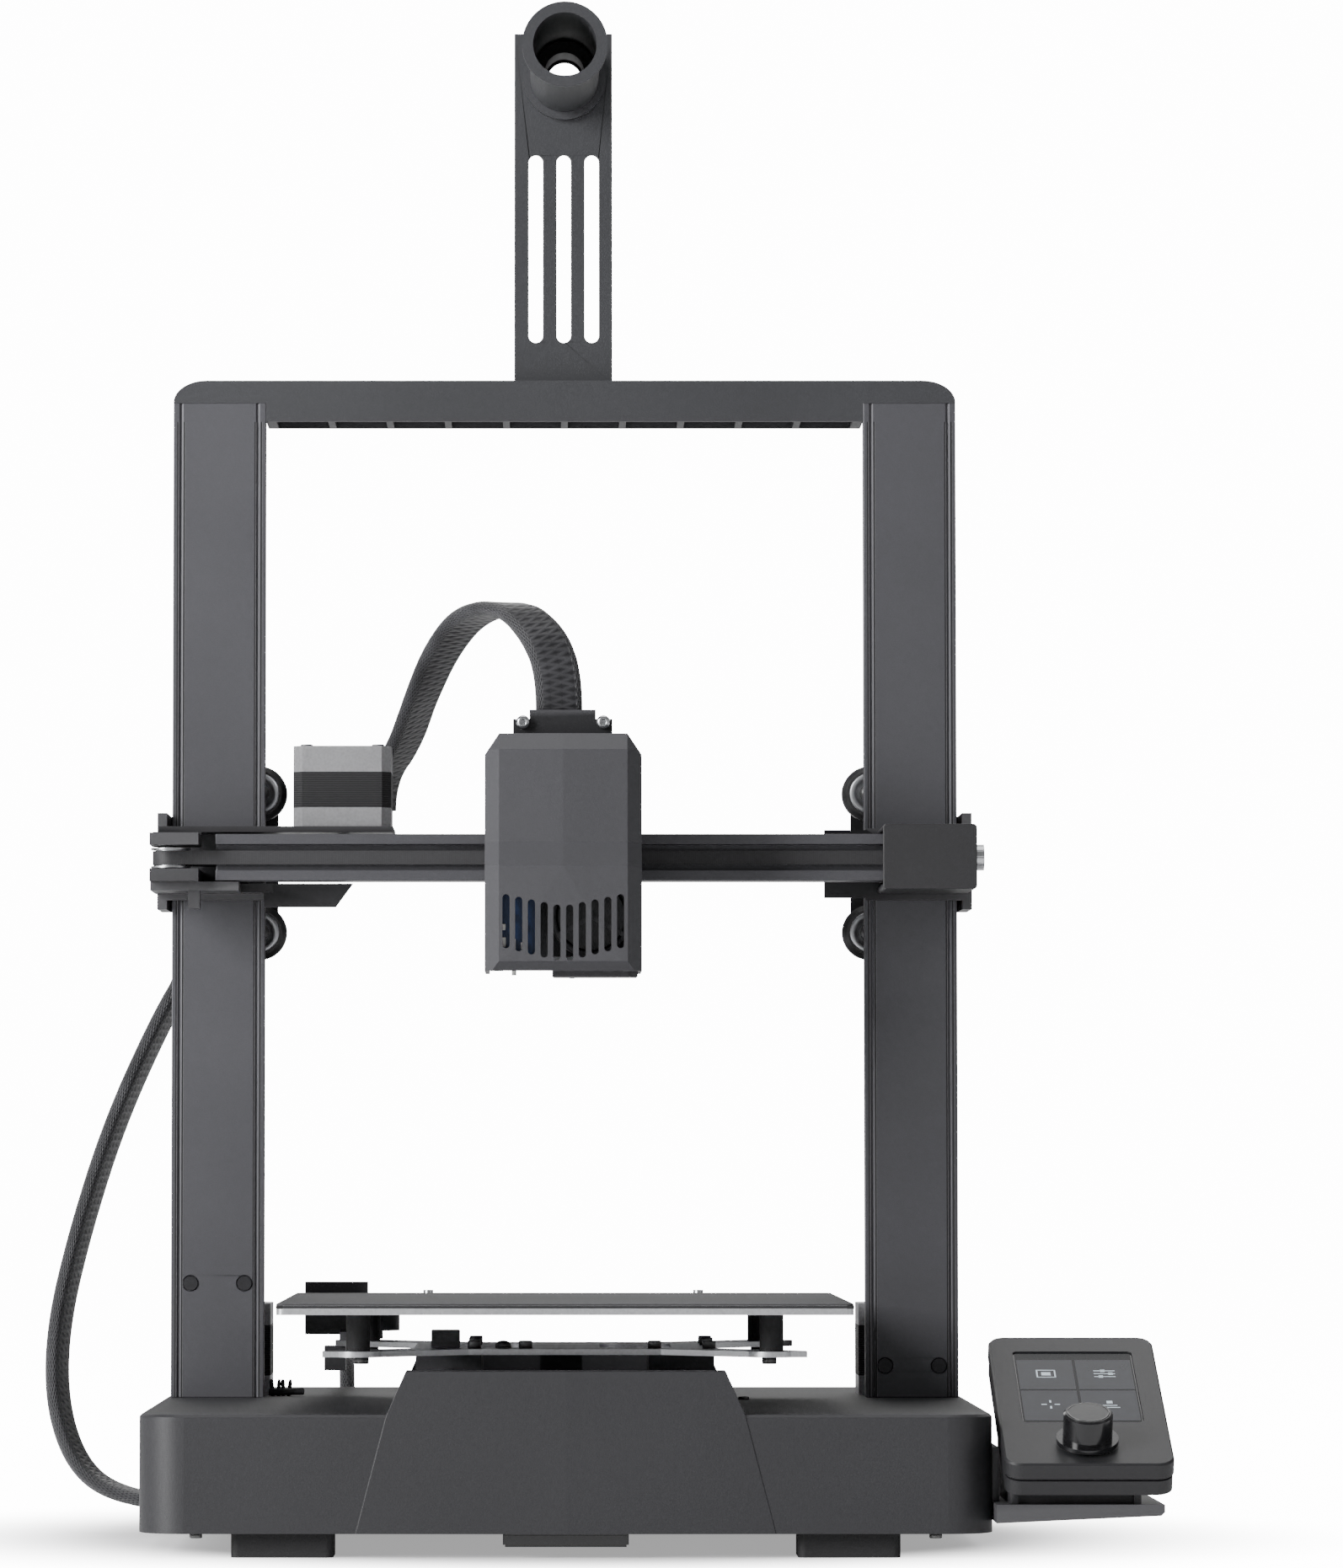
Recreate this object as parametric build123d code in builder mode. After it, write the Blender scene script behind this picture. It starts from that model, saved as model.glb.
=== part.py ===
from build123d import *
import math
import os

# Desktop filament printer with a moving bed, in millimetres.
# +X is to the right, +Y to the rear and +Z up. The origin is on the table, under the base's centre.

# Base
base_width = 347.0
base_depth = 337.0
base_bottom = 10.0
base_top = 58.0
base_corner = 19.0
wall = 2.4
front_y = -base_depth / 2
rear_y = base_depth / 2
block_top = 75.4
block_half = 64.8
block_foot_half = 72.5
block_low_half = 85.0
block_depth = 22.5
block_proud = 1.6
plate_thick = 2.0
foot_length = 41.5
foot_depth = 30.0
foot_x = 115.0
foot_y = 145.0

# Bed and its slide
bed_x = -0.3
bed_y = -38.5
bed_size = 235.0
bed_under = 97.9
bed_over = 101.7
sheet_top = 102.4
carriage_under = 80.0
carriage_thick = 2.4
hole_spacing = 170.0
rod_radius = 4.0
rod_x = 49.5
rod_z = 68.4
bearing_y = 6.5
belt_height = 6.0
belt_thick = 1.1
pulley_radius = 6.37
belt_gap = 0.3
y_belt_x = -1.6
y_belt_z = 12.0 + 42.3 / 2
y_pulley_y = 140.0

# Uprights and beam
upright_x = 150.8
upright_width = 40.4
upright_front = 31.5
skin_depth = 8.0
spine_width = 14.0
spine_rear = 57.5
upright_top = 491.4
beam_top = 501.4
beam_under = 483.5
beam_rear = 62.5

# Spool arm and holder
arm_width = 43.0
arm_y = 45.0
arm_thick = 2.5
arm_top = 656.5
spool_z = 636.3
spool_front = -50.0

# Gantry
rail_size = 20.0
rail_front = -12.0
rail_rear = rail_front + rail_size
rail_z = 290.7
rail_left = -150.0
rail_right = 138.0
wheel_y = 48.5
wheel_radius = 12.0
inner_wheel_x = 133.6
outer_wheel_x = 168.0
wheel_rise = 30.4
screw_x = 150.3
screw_y = 82.0
motor_size = 42.3
x_motor_x = -96.5
x_motor_y = 34.2
x_motor_under = 305.0
x_motor_top = 340.2
left_idler_x = -169.8
right_idler_x = 160.0
idler_y = -1.0

# Toolhead
head_half = 33.0
head_x = -0.8
head_front = -85.0
head_rear = -28.0
head_under = 240.0
head_top = 340.2
nozzle_x = 3.0
nozzle_y = -45.0
nozzle_z = 237.1
probe_x = -21.6

# Screen
screen_x = 210.7
screen_y = -131.0
screen_z = 63.0
screen_width = 68.5
screen_length = 120.0
screen_tilt = 23.7
face_plane = Plane.XY.offset(0).moved(
    Location((screen_x, screen_y, screen_z), (screen_tilt, 0, 0))
)
knob_drop = 42.0

# Cables
ribbon_thick = 6.0
bed_cable_diameter = 7.0

os.makedirs("parts", exist_ok=True)


def save(piece, name):
    """Label one finished piece and write its file."""
    piece.part.label = name
    export_step(piece.part, f"parts/{name}.step")


def box_between(low, high, mode=Mode.ADD):
    """A box between two corners, in the builder that is open."""
    centre = [(a + b) / 2 for a, b in zip(low, high)]
    with Locations(tuple(centre)):
        Box(*[b - a for a, b in zip(low, high)], mode=mode)


def rod_along(axis, centre, radius, length, mode=Mode.ADD):
    """A cylinder centred on a point, along X, Y or Z, in the builder that is open."""
    turn = {"x": (0, 90, 0), "y": (90, 0, 0), "z": (0, 0, 0)}[axis]
    with Locations(Location(centre, turn)):
        Cylinder(radius, length, mode=mode)


# ---------------------------------------------------------------- base

def block_profile(inset, low):
    """The raised block's outline on the front or rear of the base, seen from the front."""
    Polyline(
        (-block_low_half + inset, low),
        (-block_foot_half + inset, base_top),
        (-block_half + inset, block_top - inset),
        (block_half - inset, block_top - inset),
        (block_foot_half - inset, base_top),
        (block_low_half - inset, low),
        close=True,
    )


with BuildPart() as base_cover:
    with BuildSketch(Plane.XY.offset(base_bottom)):
        RectangleRounded(base_width, base_depth, base_corner)
    extrude(amount=base_top - base_bottom)
    chamfer(base_cover.faces().sort_by(Axis.Z)[-1].edges(), 1.2)
    for block_y in (front_y - block_proud, rear_y - block_depth):
        with BuildSketch(Plane.XZ.offset(-block_y - block_depth)):
            with BuildLine():
                block_profile(0, base_bottom)
            make_face()
        extrude(amount=block_depth)
    for side in (-1, 1):
        with BuildSketch(Plane.XY.offset(base_bottom - 1)):
            with BuildLine():
                Polyline(
                    (0, front_y - block_proud),
                    (side * 90, front_y - block_proud - 2),
                    (side * 90, front_y - 0.1),
                    close=True,
                )
            make_face()
        extrude(amount=block_top - base_bottom + 2, mode=Mode.SUBTRACT)
    with BuildSketch(Plane.XY.offset(base_bottom)):
        RectangleRounded(base_width - 2 * wall, base_depth - 2 * wall, base_corner - wall)
    extrude(amount=base_top - base_bottom - wall, mode=Mode.SUBTRACT)
    for block_y in (front_y - 1.0 + wall, rear_y - block_depth + wall):
        with BuildSketch(Plane.XZ.offset(-block_y - block_depth + 2 * wall)):
            with BuildLine():
                block_profile(wall, base_bottom)
            make_face()
        extrude(amount=block_depth - 2 * wall, mode=Mode.SUBTRACT)
    box_between((-10, -138, base_top - 5), (10, 138, base_top + 5), Mode.SUBTRACT)
    for side in (-1, 1):
        rod_along("y", (side * rod_x, 0, rod_z), rod_radius + 0.05, base_depth - 30, Mode.SUBTRACT)
    box_between((98, rear_y - 5, 17), (145, rear_y + 5, 41), Mode.SUBTRACT)
    rod_along("y", (-100, rear_y, 26), 5.0, 10, Mode.SUBTRACT)
    box_between((-base_width / 2 - 5, 3, 10.5), (-base_width / 2 + 5, 27, 18.5), Mode.SUBTRACT)
save(base_cover, "base_cover")

with BuildPart() as base_bottom_plate:
    with BuildSketch(Plane.XY.offset(base_bottom)):
        RectangleRounded(
            base_width - 2 * wall - 0.4, base_depth - 2 * wall - 0.4, base_corner - wall
        )
    extrude(amount=plate_thick)
    box_between((-25.4, -165, 7.8), (25.4, -120, base_bottom))
    for side in (-1, 1):
        box_between(
            (y_belt_x + side * 6 - 1.5, -y_pulley_y - 9, base_bottom),
            (y_belt_x + side * 6 + 1.5, -y_pulley_y + 9, y_belt_z + 9),
        )
    rod_along("x", (y_belt_x, -y_pulley_y, y_belt_z), 2.5, 14)
save(base_bottom_plate, "base_bottom_plate")

with BuildPart() as rubber_feet:
    with BuildSketch(Plane.XY):
        with GridLocations(2 * foot_x, 2 * foot_y, 2, 2):
            RectangleRounded(foot_length, foot_depth, 3)
    extrude(amount=base_bottom)
save(rubber_feet, "rubber_feet")

with BuildPart() as y_rods:
    for side in (-1, 1):
        rod_along("y", (side * rod_x, 0, rod_z), rod_radius, base_depth - 2 * wall - 3)
save(y_rods, "y_rods")


def motor(front, top, height, centre_x, centre_y, shaft_length):
    """A stepper motor that stands on its shaft's axis along Z, in the builder that is open."""
    with BuildSketch(Plane.XY.offset(top - height)) as outline:
        with Locations((centre_x, centre_y)):
            Rectangle(motor_size, motor_size)
        chamfer(outline.vertices(), 4)
    extrude(outline.sketch, amount=height)
    if shaft_length:
        rod_along("z", (centre_x, centre_y, front), 2.5, 2 * shaft_length)


with BuildPart() as z_motors:
    for side in (-1, 1):
        motor(98.0, 98.0, 40.0, side * screw_x, screw_y, 12.0)
save(z_motors, "z_motors")

with BuildPart() as y_motor:
    with BuildSketch(Plane.YZ.offset(10)) as outline:
        with Locations((y_pulley_y, y_belt_z)):
            Rectangle(motor_size, motor_size)
        chamfer(outline.vertices(), 4)
    extrude(amount=34)
    rod_along("x", (y_belt_x + 2, y_pulley_y, y_belt_z), 2.5, 20)
save(y_motor, "y_motor")


def belt_pulley(centre, axis):
    """A toothed pulley with two flanges and a bore that runs on a 5 mm shaft."""
    rod_along(axis, centre, pulley_radius, 7.0)
    for side in (-1, 1):
        place = list(centre)
        place["xyz".index(axis)] += side * 3.9
        rod_along(axis, tuple(place), 8.5, 0.8)
    rod_along(axis, centre, 2.55, 20, Mode.SUBTRACT)


with BuildPart() as y_motor_pulley:
    belt_pulley((y_belt_x, y_pulley_y, y_belt_z), "x")
save(y_motor_pulley, "y_motor_pulley")

with BuildPart() as y_idler_pulley:
    belt_pulley((y_belt_x, -y_pulley_y, y_belt_z), "x")
save(y_idler_pulley, "y_idler_pulley")

with BuildPart() as y_belt:
    with BuildSketch(Plane.YZ.offset(y_belt_x - belt_height / 2)):
        with Locations((0, y_belt_z)):
            SlotCenterToCenter(2 * y_pulley_y, 2 * (pulley_radius + belt_gap + belt_thick))
            SlotCenterToCenter(2 * y_pulley_y, 2 * (pulley_radius + belt_gap), mode=Mode.SUBTRACT)
    extrude(amount=belt_height)
save(y_belt, "y_belt")

with BuildPart() as power_supply:
    box_between((-160, -60, 12), (-60, 120, 44))
    with Locations((-110, 30, 44)):
        CounterBoreHole(20, 24, 1.5, 3)
save(power_supply, "power_supply")

with BuildPart() as mainboard:
    box_between((45, -120, 16), (155, -30, 17.6))
    with Locations((100, -75, 16)):
        with GridLocations(100, 80, 2, 2):
            Cylinder(3, 4, align=(Align.CENTER, Align.CENTER, Align.MAX))
    with Locations((100, -75, 21)):
        with GridLocations(22, 0, 4, 1):
            Box(12, 12, 7)
    box_between((50, -118, 17.6), (150, -110, 28))
save(mainboard, "mainboard")

with BuildPart() as power_inlet:
    box_between((98.2, rear_y - 20, 17.2), (144.8, rear_y + 0.2, 40.8))
    box_between((96, rear_y, 14), (147, rear_y + 2, 44))
    box_between((100, rear_y - 16, 19.5), (124, rear_y + 5, 38.5), Mode.SUBTRACT)
    for pin_x in (105, 112, 119):
        box_between((pin_x - 1, rear_y - 17, 27), (pin_x + 1, rear_y - 3, 31))
    box_between((128, rear_y - 12, 20), (142, rear_y + 5, 38), Mode.SUBTRACT)
    rod_along("x", (135, rear_y - 3, 29), 1.5, 15)
save(power_inlet, "power_inlet")

with BuildPart() as power_switch:
    with BuildSketch(Plane.YZ.offset(128.5)):
        with BuildLine():
            Polyline(
                (rear_y - 8, 23),
                (rear_y - 3, 20.9),
                (rear_y + 3.5, 21.4),
                (rear_y + 1.5, 29),
                (rear_y + 0.5, 37.0),
                (rear_y - 3, 37.1),
                (rear_y - 8, 35),
                close=True,
            )
        make_face()
    extrude(amount=13)
    rod_along("x", (135, rear_y - 3, 29), 1.55, 20, Mode.SUBTRACT)
save(power_switch, "power_switch")

# ---------------------------------------------------------------- frame


def upright(side, screw_height):
    """One upright: a flat grooved front skin, and a spine behind it with a V groove in each side."""
    centre = side * upright_x
    with BuildSketch(Plane.XY.offset(base_top)) as section:
        with Locations((centre, upright_front + skin_depth / 2)):
            Rectangle(upright_width, skin_depth)
            for groove in (-upright_width / 2 + 3.4, upright_width / 2 - 3.6):
                with Locations((groove, -skin_depth / 2)):
                    Rectangle(1.1, 1.8, mode=Mode.SUBTRACT)
        with Locations((centre, (upright_front + skin_depth + spine_rear) / 2)):
            Rectangle(spine_width, spine_rear - upright_front - skin_depth)
        for face in (-1, 1):
            with BuildLine():
                edge = centre + face * spine_width / 2
                Polyline(
                    (edge + face, wheel_y - 6.5),
                    (edge, wheel_y - 5.5),
                    (edge - face * 2.4, wheel_y - 3.3),
                    (edge - face * 2.4, wheel_y + 3.3),
                    (edge, wheel_y + 5.5),
                    (edge + face, wheel_y + 6.5),
                    close=True,
                )
            make_face(mode=Mode.SUBTRACT)
    extrude(section.sketch, amount=upright_top - base_top)
    for screw in (-11.7, 11.7):
        rod_along("y", (centre + screw, upright_front, screw_height), 3.4, 2.4, Mode.SUBTRACT)
        rod_along("y", (centre + screw, upright_front + 3, screw_height), 2.0, 12, Mode.SUBTRACT)


with BuildPart() as left_upright:
    upright(-1, 107.4)
save(left_upright, "left_upright")

with BuildPart() as right_upright:
    upright(1, 71.7)
save(right_upright, "right_upright")

with BuildPart() as top_beam:
    half = upright_x + upright_width / 2
    inner = upright_x - upright_width / 2
    corner_x = 14.5
    corner_z = 9.6
    with BuildSketch(Plane.XZ.offset(-upright_front - (beam_rear - upright_front))):
        with BuildLine():
            Polyline(
                (-half, beam_top - corner_z),
                (-half, upright_top),
                (-inner, upright_top),
                (-inner, beam_under),
                (inner, beam_under),
                (inner, upright_top),
                (half, upright_top),
                (half, beam_top - corner_z),
            )
            EllipticalCenterArc(
                (half - corner_x, beam_top - corner_z),
                corner_x,
                corner_z,
                start_angle=0,
                arc_size=90,
            )
            Line((half - corner_x, beam_top), (-half + corner_x, beam_top))
            EllipticalCenterArc(
                (-half + corner_x, beam_top - corner_z),
                corner_x,
                corner_z,
                start_angle=90,
                arc_size=90,
            )
        make_face()
    extrude(amount=beam_rear - upright_front)
    with Locations((0, (upright_front + beam_rear) / 2, beam_under)):
        with GridLocations(25.5, 0, 10, 1):
            Box(22.5, 25, 24, mode=Mode.SUBTRACT)
save(top_beam, "top_beam")

with BuildPart() as spool_arm:
    with BuildSketch(Plane.XZ.offset(-arm_y - arm_thick)):
        with Locations((-0.5, (beam_top + arm_top) / 2)):
            Rectangle(arm_width, arm_top - beam_top)
        with Locations((-0.3, 561.2)):
            with GridLocations(12.3, 0, 3, 1):
                SlotOverall(83.1, 6.3, rotation=90, mode=Mode.SUBTRACT)
    extrude(amount=arm_thick)
    box_between((-22, arm_y, beam_top), (21, beam_rear - 1, beam_top + arm_thick))
    rod_along("y", (0, arm_y, spool_z), 7.5, 20, Mode.SUBTRACT)
save(spool_arm, "spool_arm")

with BuildPart() as spool_holder:
    rod_along("y", (0, arm_y - 1.5, spool_z), 18.2, 3)
    rod_along("y", (0, (arm_y + spool_front) / 2, spool_z), 15.0, arm_y - spool_front)
    rod_along("y", (0, spool_front + 2.5, spool_z), 18.3, 5)
    rod_along("y", (0, spool_front + 37, spool_z), 13.6, 76, Mode.SUBTRACT)
    rod_along("y", (0, arm_y, spool_z), 8.6, 60, Mode.SUBTRACT)
save(spool_holder, "spool_holder")

with BuildPart() as frame_screws:
    for side, screw_height in ((-1, 107.4), (1, 71.7)):
        for screw in (-11.7, 11.7):
            place = side * upright_x + screw
            rod_along("y", (place, upright_front + 0.3, screw_height), 3.1, 1.8)
            rod_along("y", (place, upright_front + 4, screw_height), 1.9, 7)
            with Locations(Location((place, upright_front - 0.6, screw_height), (90, 0, 0))):
                with BuildSketch():
                    RegularPolygon(1.4, 6)
                extrude(amount=-1.0, mode=Mode.SUBTRACT)
save(frame_screws, "frame_screws")

# ---------------------------------------------------------------- gantry

with BuildPart() as x_rail:
    with BuildSketch(Plane.YZ.offset(rail_left)):
        with Locations((rail_front + rail_size / 2, rail_z)):
            Rectangle(rail_size, rail_size)
        with Locations((rail_front, rail_z)):
            Rectangle(13, 11.2, mode=Mode.SUBTRACT)
        with Locations((rail_rear, rail_z)):
            Rectangle(6, 8, mode=Mode.SUBTRACT)
    extrude(amount=rail_right - rail_left)
save(x_rail, "x_rail")


def wheel_places(side):
    """The centres of one bracket's three wheels: two inside the upright and one outside."""
    return (
        (side * inner_wheel_x, wheel_y, rail_z + wheel_rise),
        (side * inner_wheel_x, wheel_y, rail_z - wheel_rise),
        (side * outer_wheel_x, wheel_y, rail_z),
    )


def bracket_back(side):
    """The folded plate that carries the wheels and the lead screw's nut."""
    low, high = sorted((side * 126.0, side * 165.0))
    box_between((low, 60, rail_z - 31), (high, 64, rail_z + 31))
    for place in wheel_places(side):
        rod_along("y", (place[0], 62, place[2]), 10.6, 4)
    low, high = sorted((side * 160.0, side * 177.2))
    box_between((low, 60, rail_z - 21), (high, 64, rail_z + 21))
    low, high = sorted((side * 173.0, side * 177.2))
    box_between((low, 26.5, rail_z - 21), (high, 64, rail_z + 21))
    box_between((low, 42, rail_z - 13.5), (high, 55, rail_z + 13.5), Mode.SUBTRACT)
    low, high = sorted((side * 131.0, side * 177.2))
    box_between((low, 26.5, rail_z - 17), (high, 29.5, rail_z + 14.3))
    low, high = sorted((side * 136.0, side * 164.0))
    box_between((low, 64, rail_z - 6), (high, screw_y + 13, rail_z - 2))
    rod_along("z", (side * screw_x, screw_y, rail_z - 4), 7.5, 16)
    rod_along("z", (side * screw_x, screw_y, rail_z + 0.5), 11.0, 5)
    rod_along("z", (side * screw_x, screw_y, rail_z), 4.06, 60, Mode.SUBTRACT)
    for place in wheel_places(side):
        rod_along("y", (place[0], 57.0, place[2]), 4.0, 6.2)
        rod_along("y", (place[0], 52.0, place[2]), 2.5, 17.0)
    lug_low, lug_high = sorted((side * 137.0, side * 149.0))
    for low_z, high_z in ((rail_z - 10, rail_z - 5.5), (rail_z + 5.5, rail_z + 10)):
        box_between((lug_low, rail_rear, low_z), (lug_high, 26.5, high_z))


with BuildPart() as left_gantry_bracket:
    bracket_back(-1)
    box_between((-175.6, rail_rear, 302.4), (-74.3, 29.5, x_motor_under))
    box_between((-119, 29.5, 302.4), (-74.3, 57, x_motor_under))
    box_between((-112, 57, 302.4), (-78, 78, x_motor_under))
    box_between((-95, 57.5, x_motor_under), (-78, 76, 315))
    rod_along("z", (x_motor_x, x_motor_y, x_motor_under), 11.2, 10, Mode.SUBTRACT)
    box_between((-178, rail_rear + 0.5, 276.4), (-126, 29.5, 280.2))
    box_between((-178, rail_front, 276.4), (-140, rail_rear + 0.5, 280.2))
    box_between((-161.6, rail_front - 0.5, 268.7), (-156.7, rail_front + 6, 276.4))
    with BuildSketch(Plane.XZ.offset(-rail_rear - 4)):
        with BuildLine():
            Polyline(
                (-130, 270),
                (-99, 270),
                (-91.5, 280.2),
                (-130, 280.2),
                close=True,
            )
        make_face()
    extrude(amount=3)
    box_between((-178, rail_front - 7, 280.2), (-157, rail_rear, 285.6))
    box_between((-178, rail_front - 7, 295.8), (-157, rail_rear, 301.0))
    box_between((-178, rail_rear - 2, 301.0), (-157, rail_rear + 2, 302.4))
    box_between((-160, rail_rear, 280.2), (-157, 29.5, 285.6))
    rod_along("z", (left_idler_x, idler_y, rail_z), 2.5, 12)
    box_between((-172, 64, 262), (-157, 88, 278))
save(left_gantry_bracket, "left_gantry_bracket")

with BuildPart() as right_gantry_bracket:
    bracket_back(1)
    box_between((113, 26.5, rail_z - 16), (132, 29.5, rail_z + 13.5))
save(right_gantry_bracket, "right_gantry_bracket")

with BuildPart() as x_end_cover:
    box_between((136, -26, 276.5), (176.2, 26.0, 304.4))
    chamfer(x_end_cover.edges().filter_by(Axis.Y), 1.0)
    box_between((132, -23.6, 279), (173.8, 30, 302), Mode.SUBTRACT)
    for low_z, high_z in ((279, 285.6), (295.8, 302)):
        box_between((150.5, -12, low_z), (170, 10, high_z))
    rod_along("z", (right_idler_x, idler_y, rail_z), 2.5, 12)
    rod_along("x", (175, rail_front + 4, rail_z), 3.05, 12, Mode.SUBTRACT)
save(x_end_cover, "x_end_cover")

with BuildPart() as x_tension_knob:
    rod_along("x", (178.4, rail_front + 4, rail_z), 5.6, 3.6)
    for turn in range(12):
        angle = turn * math.tau / 12
        place = (178.4, rail_front + 4 + 5.8 * math.cos(angle), rail_z + 5.8 * math.sin(angle))
        rod_along("x", place, 0.5, 5, Mode.SUBTRACT)
    rod_along("x", (174.5, rail_front + 4, rail_z), 3.0, 6)
save(x_tension_knob, "x_tension_knob")

with BuildPart() as x_motor:
    motor(x_motor_under, x_motor_top, x_motor_top - x_motor_under, x_motor_x, x_motor_y, 20)
    rod_along("z", (x_motor_x, x_motor_y, x_motor_under - 1), 11.0, 2)
save(x_motor, "x_motor")

belt_wheels = (
    (left_idler_x, idler_y),
    (x_motor_x, x_motor_y),
    (right_idler_x, idler_y),
)
with BuildPart() as x_belt:
    with BuildSketch(Plane.XY.offset(rail_z - belt_height / 2)):
        for radius, how in (
            (pulley_radius + belt_gap + belt_thick, Mode.ADD),
            (pulley_radius + belt_gap, Mode.SUBTRACT),
        ):
            with BuildSketch(mode=how):
                with BuildLine():
                    for place in belt_wheels:
                        CenterArc(place, radius, 0, 360)
                make_hull()
    extrude(amount=belt_height)
save(x_belt, "x_belt")

for pulley_name, place in zip(("x_left_idler", "x_motor_pulley", "x_right_idler"), belt_wheels):
    with BuildPart() as x_pulley:
        belt_pulley((place[0], place[1], rail_z), "z")
    save(x_pulley, pulley_name)

for side, side_name in ((-1, "left"), (1, "right")):
    for place, place_name in zip(wheel_places(side), ("top", "bottom", "outer")):
        with BuildPart() as z_wheel:
            with BuildSketch(Plane.XY.offset(place[2])):
                with BuildLine():
                    Polyline(
                        (place[0] + 2.55, wheel_y - 5.1),
                        (place[0] + 9.8, wheel_y - 5.1),
                        (place[0] + wheel_radius, wheel_y - 2.9),
                        (place[0] + wheel_radius, wheel_y + 2.9),
                        (place[0] + 9.8, wheel_y + 5.1),
                        (place[0] + 2.55, wheel_y + 5.1),
                        close=True,
                    )
                make_face()
            revolve(axis=Axis((place[0], 0, place[2]), (0, 1, 0)))
        save(z_wheel, f"z_wheel_{side_name}_{place_name}")

for side, side_name in ((-1, "left"), (1, "right")):
    with BuildPart() as lead_screw:
        rod_along("z", (side * screw_x, screw_y, 296), 4.0, 348)
        rod_along("z", (side * screw_x, screw_y, 111), 9.5, 25)
        rod_along("z", (side * screw_x, screw_y, 104), 2.55, 14, Mode.SUBTRACT)
    save(lead_screw, f"lead_screw_{side_name}")

# ---------------------------------------------------------------- toolhead

with BuildPart() as x_carriage:
    box_between((-26, -18, 262), (24, -14, 334))
    box_between((-26, -14, 301.1), (24, 6, 308))
    box_between((-26, -14, 272.0), (24, 6, 280.3))
    box_between((-26, -40, 331), (24, -14, 334))
    box_between((-26, -40, 334), (-22, -14, 338))
    box_between((20, -40, 334), (24, -14, 338))
    box_between((probe_x - 6, -51, 247), (probe_x + 6, -39, 262))
    rod_along("z", (probe_x, -45, 252), 4.5, 14)
    box_between((probe_x - 4.4, -51, 262), (probe_x + 4.4, -18, 290))
    rod_along("z", (probe_x, -45, 250), 1.05, 30, Mode.SUBTRACT)
save(x_carriage, "x_carriage")

head_profile = (
    (head_front, head_under - 1),
    (head_front, 284.0),
    (head_front + 4.5, 294.0),
    (head_front + 6.5, head_top - 7),
    (head_front + 12.8, head_top + 1),
)
with BuildPart() as toolhead_cover:
    with BuildSketch(Plane.YZ.offset(head_x - head_half)):
        with BuildLine():
            Polyline(
                (head_rear, head_under),
                (head_front + 4, head_under),
                (head_front + 1, head_under + 4),
                (head_front, 284),
                (head_front + 4.5, 294),
                (head_front + 6.5, head_top - 7),
                (head_front + 12, head_top),
                (head_rear, head_top),
                close=True,
            )
        make_face()
    extrude(amount=2 * head_half)
    for (low_y, low_z), (high_y, high_z) in zip(head_profile, head_profile[1:]):
        for side in (-1, 1):
            with BuildSketch(Plane.XY.offset(low_z)) as corner:
                with BuildLine():
                    Polyline(
                        (head_x, low_y - 8),
                        (head_x, low_y),
                        (head_x + side * (head_half - 6), low_y + 1.1),
                        (head_x + side * head_half, low_y + 7.0),
                        (head_x + side * (head_half + 3), low_y + 7.0),
                        (head_x + side * (head_half + 3), low_y - 8),
                        close=True,
                    )
                make_face()
            rise = Vector(0, high_y - low_y, high_z - low_z)
            extrude(corner.sketch, amount=rise.length, dir=rise.normalized(), mode=Mode.SUBTRACT)
    with BuildSketch(Plane.XZ.offset(-head_rear)):
        with BuildLine():
            Polyline(
                (head_x - head_half, head_under),
                (head_x - head_half, head_top - 9),
                (head_x - head_half + 6, head_top),
                (head_x + head_half - 6, head_top),
                (head_x + head_half, head_top - 9),
                (head_x + head_half, head_under),
                close=True,
            )
        make_face()
    extrude(amount=head_rear - head_front, mode=Mode.INTERSECT)
    with BuildSketch(Plane.YZ.offset(head_x - 25.2)):
        with BuildLine():
            Polyline(
                (head_rear - 5, head_under - 5),
                (head_front + 6.6, head_under - 5),
                (head_front + 3.0, head_under + 8),
                (head_front + 3.0, 284),
                (head_front + 6.5, 294),
                (head_front + 8.5, head_top - 9),
                (head_front + 13, head_top - 1.8),
                (head_rear - 5, head_top - 1.8),
                close=True,
            )
        make_face()
    extrude(amount=50.4, mode=Mode.SUBTRACT)
    box_between((head_x - 31.2, head_front + 9, head_under - 5),
                (head_x + 31.2, head_rear + 5, 282), Mode.SUBTRACT)
    box_between((head_x - 31.2, head_front + 16, 282),
                (head_x + 31.2, head_rear + 5, head_top - 9.5), Mode.SUBTRACT)
    box_between((head_x - 26.5, -60, head_under), (head_x + 26.5, head_rear + 5, head_top - 1.8),
                Mode.SUBTRACT)
    box_between((-24, -56, head_top - 5), (22, head_rear + 5, head_top + 5), Mode.SUBTRACT)
    with BuildSketch(Plane.XZ.offset(-head_front - 7)):
        for slot in range(10):
            from_middle = abs(slot - 4.5)
            slot_low = 243.5 + 1.3 * from_middle
            slot_high = 267 + 1.1 * from_middle
            with Locations((head_x - 24 + slot * 5.33, (slot_low + slot_high) / 2)):
                SlotOverall(slot_high - slot_low, 3.0, rotation=90)
    extrude(amount=12, mode=Mode.SUBTRACT)
save(toolhead_cover, "toolhead_cover")

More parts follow.
